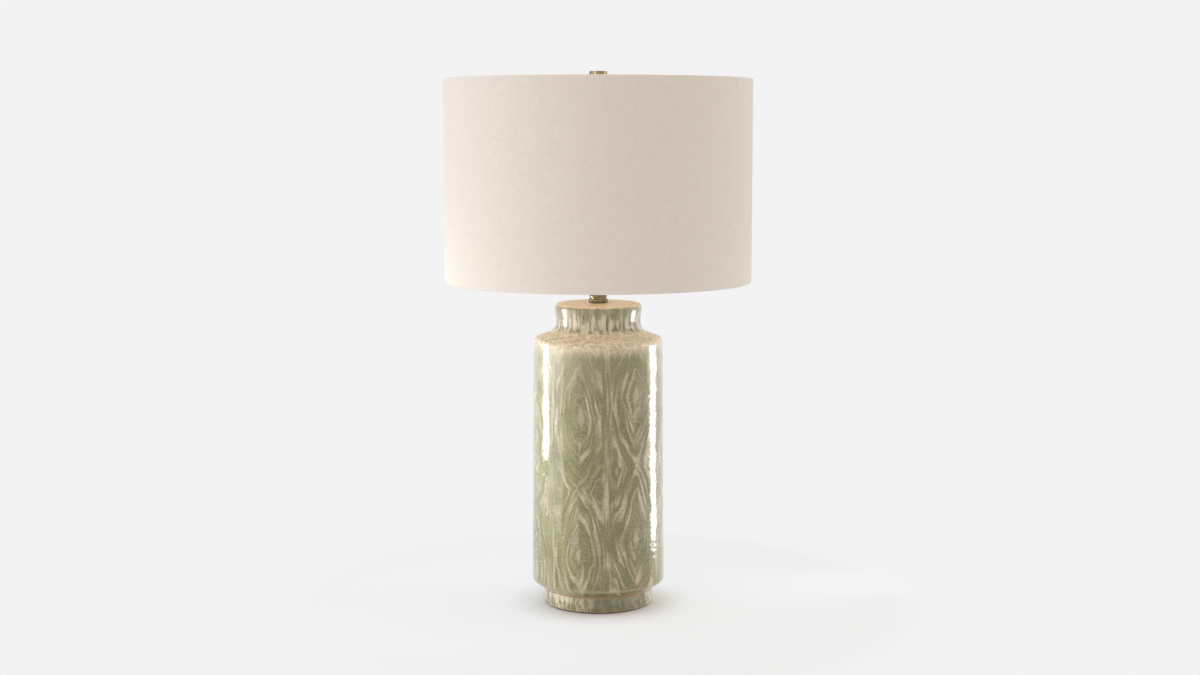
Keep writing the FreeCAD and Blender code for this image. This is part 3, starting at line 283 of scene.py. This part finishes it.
def grain_field(nodes, at):
    """How far a point lies from the middle of its knot, how far to its side, and its column."""
    x, y, z = at
    tall = nodes.scaled(at, 1.0, 0.3)
    column = nodes.plus(nodes.times(nodes.angle(x, y), COLUMNS / math.tau), COLUMN_SHIFT)
    number = nodes.math("ROUND", column)
    lateral = nodes.times(nodes.minus(column, number), COLUMN_WIDTH)
    lateral = nodes.plus(lateral, nodes.signed_noise(tall, 0.03, COLUMN_WANDER, 2.0))
    number = nodes.math("FLOORED_MODULO", number, float(COLUMNS))
    phase = nodes.add("ShaderNodeTexWhiteNoise", {"W": number}, noise_dimensions="1D")
    level = nodes.plus(z, nodes.signed_noise(tall, 0.012, KNOT_WANDER))
    row = nodes.plus(nodes.math("DIVIDE", level, KNOT_SPACING), nodes.times(phase, 0.45))
    row = nodes.plus(row, FIRST_KNOT)
    above = nodes.size(nodes.minus(row, nodes.math("ROUND", row)))
    side = nodes.size(lateral)
    fade = nodes.ramp(side, 24.0, 44.0, 1.0, 0.15)
    lift = nodes.times(nodes.times(above, KNOT_SLOPE * KNOT_SPACING), fade)
    total = nodes.plus(nodes.math("POWER", side, KNOT_POWER), nodes.math("POWER", lift, KNOT_POWER))
    field = nodes.math("POWER", total, 1.0 / KNOT_POWER)
    field = nodes.plus(field, nodes.signed_noise(nodes.place(x, y, z), 0.08, 0.7, 2.0))
    field = nodes.plus(field, nodes.signed_noise(nodes.scaled(at, 1.0, 0.4), 0.05, 1.3, 2.0))
    return field, lateral, number


def strokes(nodes, at, grain, width, length, detail):
    """Brush strokes that follow the grain, and run straight up where two columns meet."""
    field, lateral, number = grain
    half = nodes.times(nodes.math("SIGN", lateral), 9.0)
    seed = nodes.plus(nodes.times(number, 31.0), half)
    across = nodes.math("DIVIDE", field, width)
    along = nodes.math("DIVIDE", at[2], length)
    curved = nodes.noise(nodes.place(across, along, seed), 1.0, detail)
    straight = nodes.noise(nodes.scaled(at, 1.0, width / length), 1.0 / width, detail)
    between = nodes.ramp(nodes.size(lateral), *BETWEEN_COLUMNS)
    return nodes.blend(between, curved, straight)


def painted_shade_share(nodes, at):
    """1 where shade is painted darker on the glaze, right of the front, and 0 on the other sides."""
    facing = nodes.math("COSINE", nodes.minus(nodes.angle(at[0], at[1]), 0.4))
    return nodes.ramp(facing, 0.55, 1.0)


def green_ground(nodes, at, field, fine, outside, ripple):
    """The green between the streaks: clouds, olive patches that spread further on the front right as
    painted shade, ripples and fine strokes.
    """
    cloud = nodes.noise(nodes.place(*at), 0.03, 3.0)
    green = nodes.mix(nodes.ramp(cloud, 0.35, 0.65), GREEN_DEEP, GREEN_PALE)
    olive = nodes.noise(nodes.scaled(at, 1.0, 0.12), 0.05, 2.0)
    # Painted shade: the olive spreads further on the front right.
    olive = nodes.plus(olive, nodes.times(painted_shade_share(nodes, at), 0.24))
    green = nodes.mix(nodes.times(nodes.ramp(olive, 0.42, 0.7), 0.75), green, OLIVE)
    inside = nodes.ramp(field, 8.0, 16.0, 0.5, 0.22)
    green = nodes.mix(nodes.times(nodes.ramp(ripple, 0.42, 0.62), inside), green, RIPPLE)
    faint = nodes.times(nodes.ramp(fine, 0.5, 0.72), outside)
    green = nodes.mix(nodes.times(faint, 0.45), green, FINE_PALE)
    return nodes.mix(nodes.times(nodes.ramp(fine, 0.48, 0.3), 0.35), green, FINE_DARK)


def wood_grain(nodes, at):
    """The body's colour: cream strokes round plain green knots with a pale heart."""
    grain = grain_field(nodes, at)
    field = grain[0]
    broad = strokes(nodes, at, grain, STREAK_WIDTH, STREAK_LENGTH, 1.0)
    fine = strokes(nodes, at, grain, FINE_WIDTH, FINE_LENGTH, 2.0)
    outside = nodes.ramp(field, 5.0, 13.0, 0.35, 1.0)
    ripple = nodes.noise(nodes.scaled(at, 0.4, 1.0), 0.5, 2.0, 0.6)
    green = green_ground(nodes, at, field, fine, outside, ripple)
    patch = nodes.ramp(nodes.noise(nodes.scaled(at, 1.0, 0.4), 0.06, 2.0), 0.36, 0.56, 0.45, 1.0)
    streak = nodes.times(nodes.times(nodes.ramp(broad, 0.48, 0.65), outside), patch)
    cream = nodes.mix(nodes.ramp(ripple, 0.35, 0.65), STREAK_DEEP, STREAK_PALE)
    colour = nodes.mix(nodes.times(streak, 0.88), green, cream)
    return nodes.mix(nodes.ramp(field, 2.0, 6.0, 0.5, 0.0), colour, KNOT_HEART)


def thinned(nodes, at, colour):
    """The glaze ran down and left the upper part paler, least on the front right, where shade is
    painted.
    """
    wander = nodes.signed_noise(nodes.scaled(at, 1.0, 0.12), 0.1, 20.0)
    thin = nodes.ramp(nodes.plus(at[2], wander), *THIN_GLAZE)
    # Painted shade: less paling on the front right keeps it darker.
    most = nodes.minus(0.7, nodes.times(painted_shade_share(nodes, at), 0.55))
    return nodes.mix(nodes.times(thin, most), colour, THIN)


def upper_bands(nodes, at, level, ragged, colour):
    """Sandy shoulder, collar with drips and a green line, tan top."""
    grain = nodes.ramp(nodes.noise(nodes.place(*at), 0.2, 4.0, 0.7), 0.38, 0.62)
    sand = nodes.mix(grain, SAND_DEEP, SAND_PALE)
    tan = nodes.mix(grain, TAN_DEEP, TAN_PALE)
    flame = nodes.noise(nodes.scaled(at, 1.0, 0.12), 0.22, 3.0)
    collar = nodes.mix(nodes.ramp(flame, 0.38, 0.62), COLLAR_DEEP, COLLAR_PALE)
    colour = nodes.mix(nodes.ramp(ragged, *SHOULDER_START), colour, sand)
    colour = nodes.mix(nodes.ramp(ragged, *COLLAR_START), colour, collar)
    drips = nodes.noise(nodes.scaled(at, 1.0, 0.05), 0.22, 3.0)
    reach = nodes.plus(level, nodes.ramp(drips, 0.4, 0.7, 0.0, DRIP_LENGTH))
    line = nodes.times(nodes.ramp(reach, *DRIPS_END), nodes.ramp(level, *LIP_LINE_END, 1.0, 0.0))
    colour = nodes.mix(nodes.times(line, 0.75), colour, LIP_GREEN)
    return nodes.mix(nodes.ramp(level, *TOP_START), colour, tan)


def foot_bands(nodes, at, level, ragged, colour):
    """Mottled foot, painted darker on its front right as shade, with a brown line above it, a fainter
    one on the belly's edge, a bare ring.
    """
    mottle = nodes.noise(nodes.scaled(at, 1.0, 0.45), 0.17, 4.0, 0.6)
    foot = nodes.mix(nodes.ramp(mottle, 0.38, 0.62), FOOT_DEEP, FOOT_PALE)
    # Painted shade: the foot darkens on its front right.
    foot = nodes.mix(nodes.times(painted_shade_share(nodes, at), 0.72), foot, FOOT_PAINTED_SHADE)
    colour = nodes.mix(nodes.ramp(ragged, *FOOT_TOP, 1.0, 0.0), colour, foot)
    from_foot = nodes.size(nodes.minus(ragged, FOOT_LINE))
    colour = nodes.mix(nodes.ramp(from_foot, 1.2, 4.0, 0.85, 0.0), colour, FOOT_BROWN)
    from_belly = nodes.size(nodes.minus(ragged, BELLY_LINE))
    colour = nodes.mix(nodes.ramp(from_belly, 0.8, 3.0, 0.4, 0.0), colour, BELLY_BROWN)
    return nodes.mix(nodes.ramp(level, *UNGLAZED_EDGE, 1.0, 0.0), colour, BARE_CLAY)


def glaze(name, coat, rough):
    """Celadon glaze over a brushed wood grain, bare tan on the shoulder and top."""
    material, nodes = new_material(name)
    at = nodes.object_point()
    level = nodes.minus(at[2], JAR_LEVEL)
    ragged = nodes.plus(level, nodes.signed_noise(nodes.place(at[0], at[1], 0.0), 0.07, 2.2, 2.0))
    colour = thinned(nodes, at, wood_grain(nodes, at))
    colour = upper_bands(nodes, at, level, ragged, colour)
    colour = foot_bands(nodes, at, level, ragged, colour)
    skin = nodes.noise(nodes.place(*at), 0.5, 2.0)
    hammered = nodes.noise(nodes.scaled(at, 0.4, 0.7), 0.3, 1.0)
    normal = nodes.bump(skin, 0.05 * MM, 0.5)
    normal = nodes.bump(hammered, 0.42 * MM, 0.8, normal)
    nodes.finish(colour, nodes.ramp(skin, 0.3, 0.7, rough, rough + 0.12), normal,
                 Coat_Weight=coat, Coat_Roughness=0.02, Coat_IOR=1.6, Coat_Normal=normal)
    return material


# ---------------------------------------------------------------- cloth
WARP_THREADS = 1700
WEFT_SPACING = 0.75
LINEN_DEEP = rgb(0.835, 0.79, 0.745)
LINEN_PALE = rgb(0.9, 0.865, 0.83)
LINEN_GAP_SHADE = rgb(0.5, 0.44, 0.38)


def linen():
    """Plain-woven linen with uneven threads, painted darker between the threads as shade."""
    material, nodes = new_material("linen")
    x, y, z = nodes.object_point()
    drift = nodes.signed_noise(nodes.place(x, y, z), 0.04, 0.35)
    across = nodes.plus(nodes.times(nodes.angle(x, y), WARP_THREADS / 2), drift)
    along = nodes.plus(nodes.times(z, math.pi / WEFT_SPACING), drift)
    warp = nodes.size(nodes.math("SINE", across))
    weft = nodes.size(nodes.math("SINE", along))
    over = nodes.times(nodes.math("COSINE", across), nodes.math("COSINE", along))
    weave = nodes.blend(nodes.ramp(over, -0.25, 0.25), warp, weft)
    level_threads = nodes.noise(nodes.scaled((x, y, z), 0.06, 1.0), 1.5, 2.0)
    upright_threads = nodes.noise(nodes.scaled((x, y, z), 1.0, 0.05), 1.5, 2.0)
    slub = nodes.times(nodes.plus(level_threads, upright_threads), 0.5)
    colour = nodes.mix(nodes.ramp(slub, 0.36, 0.64), LINEN_DEEP, LINEN_PALE)
    # Painted shade: darker where the weave dips between the threads.
    colour = nodes.mix(nodes.ramp(weave, 0.0, 0.6, 0.1, 0.0), colour, LINEN_GAP_SHADE)
    height = nodes.plus(weave, nodes.times(slub, 1.2))
    nodes.finish(colour, 0.9, nodes.bump(height, 0.12 * MM, 0.6),
                 Sheen_Weight=0.12, Sheen_Roughness=0.5, Specular_IOR_Level=0.2)
    return material


# ---------------------------------------------------------------- meshes
def rounded(outline, step=0.5):
    """A closed section in millimetres, from corners (r, z) or (r, z, rounding)."""
    points = []
    for index, corner in enumerate(outline):
        here = Vector(corner[:2])
        if len(corner) == 2:
            points.append(here)
            continue
        back = (Vector(outline[index - 1][:2]) - here).normalized()
        ahead = (Vector(outline[(index + 1) % len(outline)][:2]) - here).normalized()
        half = back.angle(ahead) / 2
        radius = corner[2]
        centre = here + (back + ahead).normalized() * (radius / math.sin(half))
        first = here + back * (radius / math.tan(half)) - centre
        last = here + ahead * (radius / math.tan(half)) - centre
        start = math.atan2(first.y, first.x)
        sweep = (math.atan2(last.y, last.x) - start + math.pi) % math.tau - math.pi
        parts = max(3, math.ceil(abs(sweep) * radius / step))
        for part in range(parts + 1):
            bearing = start + sweep * part / parts
            points.append(centre + radius * Vector((math.cos(bearing), math.sin(bearing))))
    return points


def spaced(points, gap):
    """The same closed section with no step longer than gap."""
    result = []
    for index, point in enumerate(points):
        following = points[(index + 1) % len(points)]
        parts = max(1, math.ceil((following - point).length / gap))
        result += [point.lerp(following, part / parts) for part in range(parts)]
    return result


def lathe(name, section, bearings, shape):
    """A closed turned mesh. shape places a point, given its bearing and the way out of the skin."""
    count = len(section)
    vertices = []
    for bearing in bearings:
        for index, point in enumerate(section):
            tangent = section[(index + 1) % count] - section[index - 1]
            outward = Vector((tangent.y, -tangent.x)).normalized()
            moved = shape(point, bearing, outward)
            vertices.append((moved.x * math.cos(bearing) * MM, moved.x * math.sin(bearing) * MM,
                             moved.y * MM))
    faces = []
    for turn in range(len(bearings)):
        this, after = turn * count, (turn + 1) % len(bearings) * count
        for index in range(count):
            following = (index + 1) % count
            faces.append((this + index, after + index, after + following, this + following))
    mesh = bpy.data.meshes.new(name)
    mesh.from_pydata(vertices, [], faces)
    mesh.polygons.foreach_set("use_smooth", [True] * len(faces))
    piece = bpy.data.objects.new(name, mesh)
    bpy.context.scene.collection.objects.link(piece)
    return piece


def even_bearings(count):
    return [FRONT + math.tau * index / count for index in range(count)]


def round_point(radius, bearing, level):
    """The point in space of a turned section's point."""
    return Vector((radius * math.cos(bearing), radius * math.sin(bearing), level))


def cut_away(piece, cutters):
    """Takes the cutters' volume out of the piece."""
    for cutter in cutters:
        modifier = piece.modifiers.new("cut", "BOOLEAN")
        modifier.object = cutter
        modifier.operation = "DIFFERENCE"
        modifier.solver = "EXACT"
    bpy.context.view_layer.update()
    made = piece.evaluated_get(bpy.context.evaluated_depsgraph_get())
    mesh = bpy.data.meshes.new_from_object(made)
    piece.modifiers.clear()
    piece.data = mesh
    for cutter in cutters:
        bpy.data.objects.remove(cutter)


def block(low, high, turn):
    """A box between two corners in millimetres, turned about Z."""
    points = [(x, y, z) for x in (low[0], high[0]) for y in (low[1], high[1])
              for z in (low[2], high[2])]
    mesh = bpy.data.meshes.new("cutter")
    faces = [(0, 1, 3, 2), (4, 6, 7, 5), (0, 4, 5, 1), (2, 3, 7, 6), (0, 2, 6, 4), (1, 5, 7, 3)]
    mesh.from_pydata([[value * MM for value in point] for point in points], [], faces)
    piece = bpy.data.objects.new("cutter", mesh)
    piece.rotation_euler = (0, 0, turn)
    bpy.context.scene.collection.objects.link(piece)
    return piece


def add_piece(piece, material, body, node):
    """Gives a piece its material and body, and lets it stand for a CAD node."""
    piece.data.materials.clear()
    piece.data.materials.append(material)
    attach(piece, body)
    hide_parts(node)


# ---------------------------------------------------------------- jar
# The jar's section: radius, level above the foot ring and rounding of each corner, in millimetres.
JAR_OUTSIDE = [
    (73.8, 0, 2.6),  # foot
    (73.8, 20.5, 3.8),  # slope's foot
    (89.0, 30.8, 5.8),  # widest part
    (86.4, 357.4, 7.7),  # shoulder's edge
    (57.9, 367.7, 15.3),  # collar's foot
    (56.4, 382.6, 38.0),  # collar's waist
    (58.1, 396.6, 20.0),  # lip's lower edge
    (58.1, 404.1, 5.8),  # lip's upper edge
    (6.0, 404.1),  # pipe's hole in the top
]
JAR_INSIDE = [
    (6.0, 397.1),  # under the top
    (50.4, 397.1, 6.0),  # collar
    (51.9, 361.7, 6.0),  # under the collar
    (80.4, 351.4, 3.0),  # under the shoulder's edge
    (83.0, 33.8, 3.0),  # inside the widest part
    (67.8, 17.0, 3.0),  # inside the foot
    (6.0, 17.0),  # pipe's hole in the floor
    (6.0, 10.0),  # under the floor
    (60.0, 10.0, 2.6),  # hollow in the foot
    (60.0, 0),  # foot ring
]
INLET_WALL = 85.0
INLET_CUT = 60.0

# Where the skin is glazed: outside a radius, above a level. Points deeper in stay where they are.
GLAZED_SKIN = [(84.0, 0.0), (70.0, 4.0), (54.0, 362.0)]
# Unevenness of the glaze: noise per millimetre, its height in millimetres, how it is drawn out.
GLAZE_WAVES = [(0.035, 0.25, 1.0), (0.085, 0.16, 0.6), (0.2, 0.05, 0.7)]
DRY_SHOULDER = (358.6, 368.5)
DRY_TOP = 402.6


def make_jar(glossy, dull):
    """The jar with the slight unevenness of a thick glaze, dull on its shoulder and top."""
    def shape(point, bearing, outward):
        level = point.y + JAR_LEVEL
        moved = Vector((point.x, level))
        if not any(point.x > radius and level > low for radius, low in GLAZED_SKIN):
            return moved
        at = round_point(point.x, bearing, level)
        heights = (height * noise.noise(Vector((at.x, at.y, at.z * drawn)) * scale)
                   for scale, height, drawn in GLAZE_WAVES)
        return moved + outward * sum(heights)

    section = spaced(rounded(JAR_OUTSIDE + JAR_INSIDE, 0.8), 2.2)
    jar = lathe("jar_glazed", section, even_bearings(400), shape)
    through_wall = Vector((0, INLET_WALL, INLET_LEVEL)) * MM
    bpy.ops.mesh.primitive_cylinder_add(
        radius=INLET_RADIUS * MM, depth=INLET_CUT * MM, location=through_wall,
        rotation=(math.pi / 2, 0, 0), vertices=48)
    cut_away(jar, [bpy.context.object])
    add_piece(jar, glossy, "base", "jar_body")
    jar.data.materials.append(dull)
    for face in jar.data.polygons:
        level = face.center.z / MM - JAR_LEVEL
        if level > DRY_TOP or DRY_SHOULDER[0] < level < DRY_SHOULDER[1]:
            face.material_index = 1


# ---------------------------------------------------------------- shade and pad
# Unevenness of the skin and the groove beside each ring, in millimetres.
SLUB_HEIGHT = 0.12
GROOVE_DEPTH = 0.14
GROOVE_FROM_END = 6.0
GROOVE_WIDTH = 1.8
LAP_HEIGHT = 0.45
LAP_EDGE = 0.0006  # half the turn within which the lap's edge rises, in radians

# The notches for the spider's arms: radius, side, and height from the arm's level.
NOTCH_INNER = Vector((190, -2, -30))
NOTCH_OUTER = Vector((201.1, 2, 2))
ARM_BELOW_RING = 0.6 * WIRE_RADIUS
PAD_FUZZ = 0.12
PAD_PINHOLE = 0.4


def shade_section():
    """The cloth's path: turned in, round a ring, up the wall, round the other ring, turned in."""
    wall = SHADE_RADIUS - CLOTH
    inner = wall - 2 * GLUE - 2 * WIRE_RADIUS
    tuck = wall - GLUE - LINER - GLUE
    rolled = CLOTH + 2 * GLUE + 2 * WIRE_RADIUS
    slope = rolled + TURN_SLOPE
    top = SHADE_HEIGHT
    bend = WIRE_RADIUS
    hidden_side = [
        (tuck, TURNED_IN), (tuck, slope), (inner, rolled), (inner, CLOTH, bend),
        (wall, CLOTH, bend), (wall, top - CLOTH, bend), (inner, top - CLOTH, bend),
        (inner, top - rolled), (tuck, top - slope), (tuck, top - TURNED_IN)]
    tuck, inner, bend = tuck - CLOTH, inner - CLOTH, bend + CLOTH
    shown_side = [
        (tuck, top - TURNED_IN), (tuck, top - slope), (inner, top - rolled), (inner, top, bend),
        (SHADE_RADIUS, top, bend), (SHADE_RADIUS, 0, bend), (inner, 0, bend),
        (inner, rolled), (tuck, slope), (tuck, TURNED_IN)]
    return spaced(rounded(hidden_side + shown_side, 0.35), 6.0)


def make_shade(material):
    """The linen panel: rolled over both rings, turned in, and lapped at the back."""
    lap = HALF_LAP / SHADE_RADIUS

    def shape(point, bearing, outward):
        moved = Vector((point.x, point.y + SHADE_LEVEL))
        if point.x > SHADE_RADIUS - 0.1:
            at = round_point(1.0, bearing, point.y * 0.02)
            from_end = min(point.y, SHADE_HEIGHT - point.y)
            groove = math.exp(-((from_end - GROOVE_FROM_END) / GROOVE_WIDTH) ** 2)
            moved.x += SLUB_HEIGHT * noise.noise(at * 9) - GROOVE_DEPTH * groove
            from_back = abs((bearing - BACK + math.pi) % math.tau - math.pi)
            if from_back < lap:
                moved.x += LAP_HEIGHT
        return moved

    bearings = even_bearings(480)
    for side in (-lap, lap):
        bearings += [BACK + side - LAP_EDGE, BACK + side + LAP_EDGE]
    shade = lathe("shade_linen", shade_section(), sorted(bearings), shape)
    ring_level = SHADE_LEVEL + SHADE_HEIGHT - CLOTH - GLUE - WIRE_RADIUS
    lift = Vector((0, 0, ring_level - ARM_BELOW_RING))
    cut_away(shade, [block(NOTCH_INNER + lift, NOTCH_OUTER + lift, math.radians(turn))
                     for turn in ARM_TURNS])
    add_piece(shade, material, "shade", "shade_fabric")


def make_pad(material):
    """The felt pad under the foot, with a slightly fuzzy edge."""
    rim = PAD_RADIUS - PAD_EDGE
    section = spaced(rounded([
        (PAD_PINHOLE, 0), (rim, 0), (PAD_RADIUS, PAD_EDGE), (PAD_RADIUS, JAR_LEVEL),
        (PAD_PINHOLE, JAR_LEVEL)]), 2.5)

    def shape(point, bearing, outward):
        at = round_point(point.x, bearing, point.y * 3)
        fuzz = PAD_FUZZ * noise.noise(at * 0.9) if point.x > rim - 1 else 0.0
        return Vector((point.x + fuzz, point.y))

    pad = lathe("felt_pad", section, even_bearings(240), shape)
    add_piece(pad, material, "base", "base_pad")


# ---------------------------------------------------------------- finishes by slot
def make_finishes():
    """One material for each slot of the record."""
    return {
        "base_felt": plain("base_felt", (0.085, 0.078, 0.07), 0.98, 0.5, 0.4, 0.25, Sheen_Weight=0.3),
        "celadon_glaze": glaze("celadon_glaze", 1.0, 0.2),
        "zinc_steel": plain("zinc_steel", (0.62, 0.62, 0.6), 0.32, 3.0, 0.1, 0.01, Metallic=1.0),
        "nylon": plain("nylon", (0.72, 0.69, 0.6), 0.42, 2.0, 0.05, 0.02),
        "clear_rubber": plain("clear_rubber", (0.55, 0.53, 0.48), 0.35, 2.0, 0.06, 0.02,
                              Transmission_Weight=0.3, IOR=1.45),
        "polished_brass": brass("polished_brass", (0.42, 0.33, 0.21), 0.07, (0.26, 0.18, 0.09)),
        "harp_brass": brass("harp_brass", (0.72, 0.54, 0.27), 0.24, (0.6, 0.42, 0.19), False),
        "socket_brass": brass("socket_brass", (0.75, 0.58, 0.31), 0.22, (0.62, 0.45, 0.22)),
        "paper_sleeve": plain("paper_sleeve", (0.4, 0.29, 0.17), 0.85, 1.2, 0.15, 0.05),
        "bulb_aluminium": plain("bulb_aluminium", (0.78, 0.78, 0.78), 0.3, 2.0, 0.06, 0.01,
                                Metallic=1.0),
        "phenolic": plain("phenolic", (0.03, 0.024, 0.02), 0.28, 2.0, 0.2, 0.02),
        "frosted_glass": plain("frosted_glass", (0.93, 0.93, 0.91), 0.38, 6.0, 0.02, 0.01,
                               Subsurface_Weight=0.4, Coat_Weight=0.4, Coat_Roughness=0.2),
        "ring_enamel": plain("ring_enamel", (0.86, 0.85, 0.82), 0.35, 2.0, 0.04, 0.02),
        "spider_brass": brass("spider_brass", (0.7, 0.52, 0.26), 0.26, (0.58, 0.41, 0.18), False),
        "liner_sheet": plain("liner_sheet", (0.9, 0.885, 0.85), 0.55, 4.0, 0.02, 0.02,
                             Subsurface_Weight=0.2),
        "linen": linen(),
    }


def dress(finishes):
    """Gives each CAD node the finish of its slot."""
    for part in frame["record"]["subparts"]:
        node = frame["nodes"][part["node"]]
        node.data.materials.clear()
        node.data.materials.append(finishes[part["material_slot"]])


# ---------------------------------------------------------------- studio
BACKGROUND = rgb(0.896, 0.896, 0.896)
BEHIND_LEFT = rgb(1.04, 1.1, 1.15)
BEHIND_RIGHT = rgb(0.72, 0.74, 0.75)
SIDES = rgb(1.08, 0.89, 0.72)
CAMERA_SIDE = rgb(0.1, 0.08, 0.06)
TOWARDS_DIM_SIDE = (0.4, -0.92)
FLOOR_DEEP = rgb(0.82, 0.87, 0.93)
FLOOR_PALE = rgb(0.83, 0.88, 0.94)
FLOOR_NEAR = rgb(0.905, 0.915, 0.925)

# Distances from the lamp's axis in millimetres. Over the first two, a share of the shaded floor
# gives way to its plain colour, and over the last two, all of it to the background's.
SHADOW_EDGE = (72.0, 135.0)
FLOOR_EDGE = (260.0, 480.0)
FLOOR_SHARE = 0.62

# Metres and degrees.
CAMERA_PLACE = (0, -2.393, 0.6355)
CAMERA_TILT = 83.3
CAMERA_SHIFT = (0.0015, 0.0029)
SENSOR_WIDTH = 36
LENS = 54.1


def make_world():
    """Warm light, dim on the camera's side. Camera and mirrored rays see plain near-white."""
    world = bpy.data.worlds.new("studio")
    nodes = Nodes(world)
    x, y, z = nodes.split(nodes.add("ShaderNodeTexCoord", output="Generated"))
    ahead = nodes.plus(nodes.times(y, TOWARDS_DIM_SIDE[1]), nodes.times(x, TOWARDS_DIM_SIDE[0]))
    behind = nodes.mix(nodes.ramp(x, -0.2, 0.6), BEHIND_LEFT, BEHIND_RIGHT)
    colour = nodes.mix(nodes.ramp(ahead, -0.5, 0.1), behind, SIDES)
    colour = nodes.mix(nodes.ramp(ahead, 0.5, 0.95), colour, CAMERA_SIDE)
    colour = nodes.mix(nodes.seen_directly(), colour, BACKGROUND)
    light = nodes.add("ShaderNodeBackground", {"Color": colour, "Strength": 1.0})
    nodes.add("ShaderNodeOutputWorld", {"Surface": light})
    bpy.context.scene.world = world


def make_floor():
    """A pale seamless floor that runs into the background's colour."""
    bpy.ops.mesh.primitive_plane_add(size=12)
    floor = bpy.context.object
    floor.name = "studio_floor"
    material, nodes = new_material("studio_floor")
    x, y, z = nodes.object_point()
    speck = nodes.noise(nodes.place(x, y, z), 0.05, 2.0)
    matte = nodes.add("ShaderNodeBsdfDiffuse", {"Color": nodes.mix(speck, FLOOR_DEEP, FLOOR_PALE)})
    radius = nodes.math("SQRT", nodes.plus(nodes.times(x, x), nodes.times(y, y)))
    far = nodes.ramp(radius, *FLOOR_EDGE)
    tint = nodes.mix(far, FLOOR_NEAR, BACKGROUND)
    glow = nodes.add("ShaderNodeEmission", {"Color": tint, "Strength": 1.0})
    away = nodes.math("MAXIMUM", nodes.ramp(radius, *SHADOW_EDGE, 0.0, FLOOR_SHARE), far)
    share = nodes.times(away, nodes.seen_directly())
    shader = nodes.add("ShaderNodeMixShader", {0: share, 1: matte, 2: glow})
    nodes.add("ShaderNodeOutputMaterial", {"Surface": shader})
    floor.data.materials.append(material)


def softbox(name, bearing, distance, width, bottom, top, radiance, colour, spread=180):
    """An upright lamp that faces the axis, some degrees to the right of the camera's side."""
    turn = math.radians(bearing)
    data = bpy.data.lights.new(name, "AREA")
    data.shape = "RECTANGLE"
    data.size = width
    data.size_y = top - bottom
    data.energy = radiance * math.pi * width * (top - bottom)
    data.color = colour
    data.spread = math.radians(spread)
    lamp = bpy.data.objects.new(name, data)
    lamp.location = (math.sin(turn) * distance, -math.cos(turn) * distance, (bottom + top) / 2)
    facing = Vector((-lamp.location.x, -lamp.location.y, 0))
    lamp.rotation_euler = facing.to_track_quat("-Z", "Y").to_euler()
    bpy.context.scene.collection.objects.link(lamp)


def make_lights():
    """Two strips for the jar's long highlights, a fill beside the left one, and large softboxes."""
    softbox("strip_left", bearing=-99, distance=0.55, width=0.155, bottom=0.12, top=0.42,
            radiance=0.9, colour=(1.0, 0.96, 0.88), spread=50)
    softbox("strip_right", bearing=104, distance=0.45, width=0.14, bottom=0.0, top=0.34,
            radiance=1.4, colour=(1.0, 0.98, 0.95), spread=80)
    softbox("fill_left", bearing=-76, distance=0.62, width=0.34, bottom=0.0, top=0.42,
            radiance=0.6, colour=(1.0, 0.98, 0.92), spread=110)
    softbox("softbox_front", bearing=-41, distance=2.0, width=0.8, bottom=0.32, top=1.4,
            radiance=1.2, colour=(0.95, 0.98, 1.0))
    softbox("high_left", bearing=-85, distance=2.2, width=0.9, bottom=0.5, top=1.5,
            radiance=0.6, colour=(0.6, 0.85, 1.1))
    softbox("high_right", bearing=98, distance=2.2, width=0.9, bottom=0.5, top=1.5,
            radiance=1.8, colour=(0.85, 0.95, 1.05))


def make_camera():
    data = bpy.data.cameras.new("camera")
    data.sensor_width = SENSOR_WIDTH
    data.lens = LENS
    data.shift_x, data.shift_y = CAMERA_SHIFT
    camera = bpy.data.objects.new("camera", data)
    camera.location = CAMERA_PLACE
    camera.rotation_euler = (math.radians(CAMERA_TILT), 0, 0)
    bpy.context.scene.collection.objects.link(camera)
    bpy.context.scene.camera = camera


finishes = make_finishes()
dress(finishes)
make_jar(finishes["celadon_glaze"], glaze("dry_glaze", 0.12, 0.5))
make_shade(finishes["linen"])
make_pad(finishes["base_felt"])
make_world()
make_floor()
make_lights()
make_camera()
bpy.context.scene.view_settings.view_transform = "Standard"
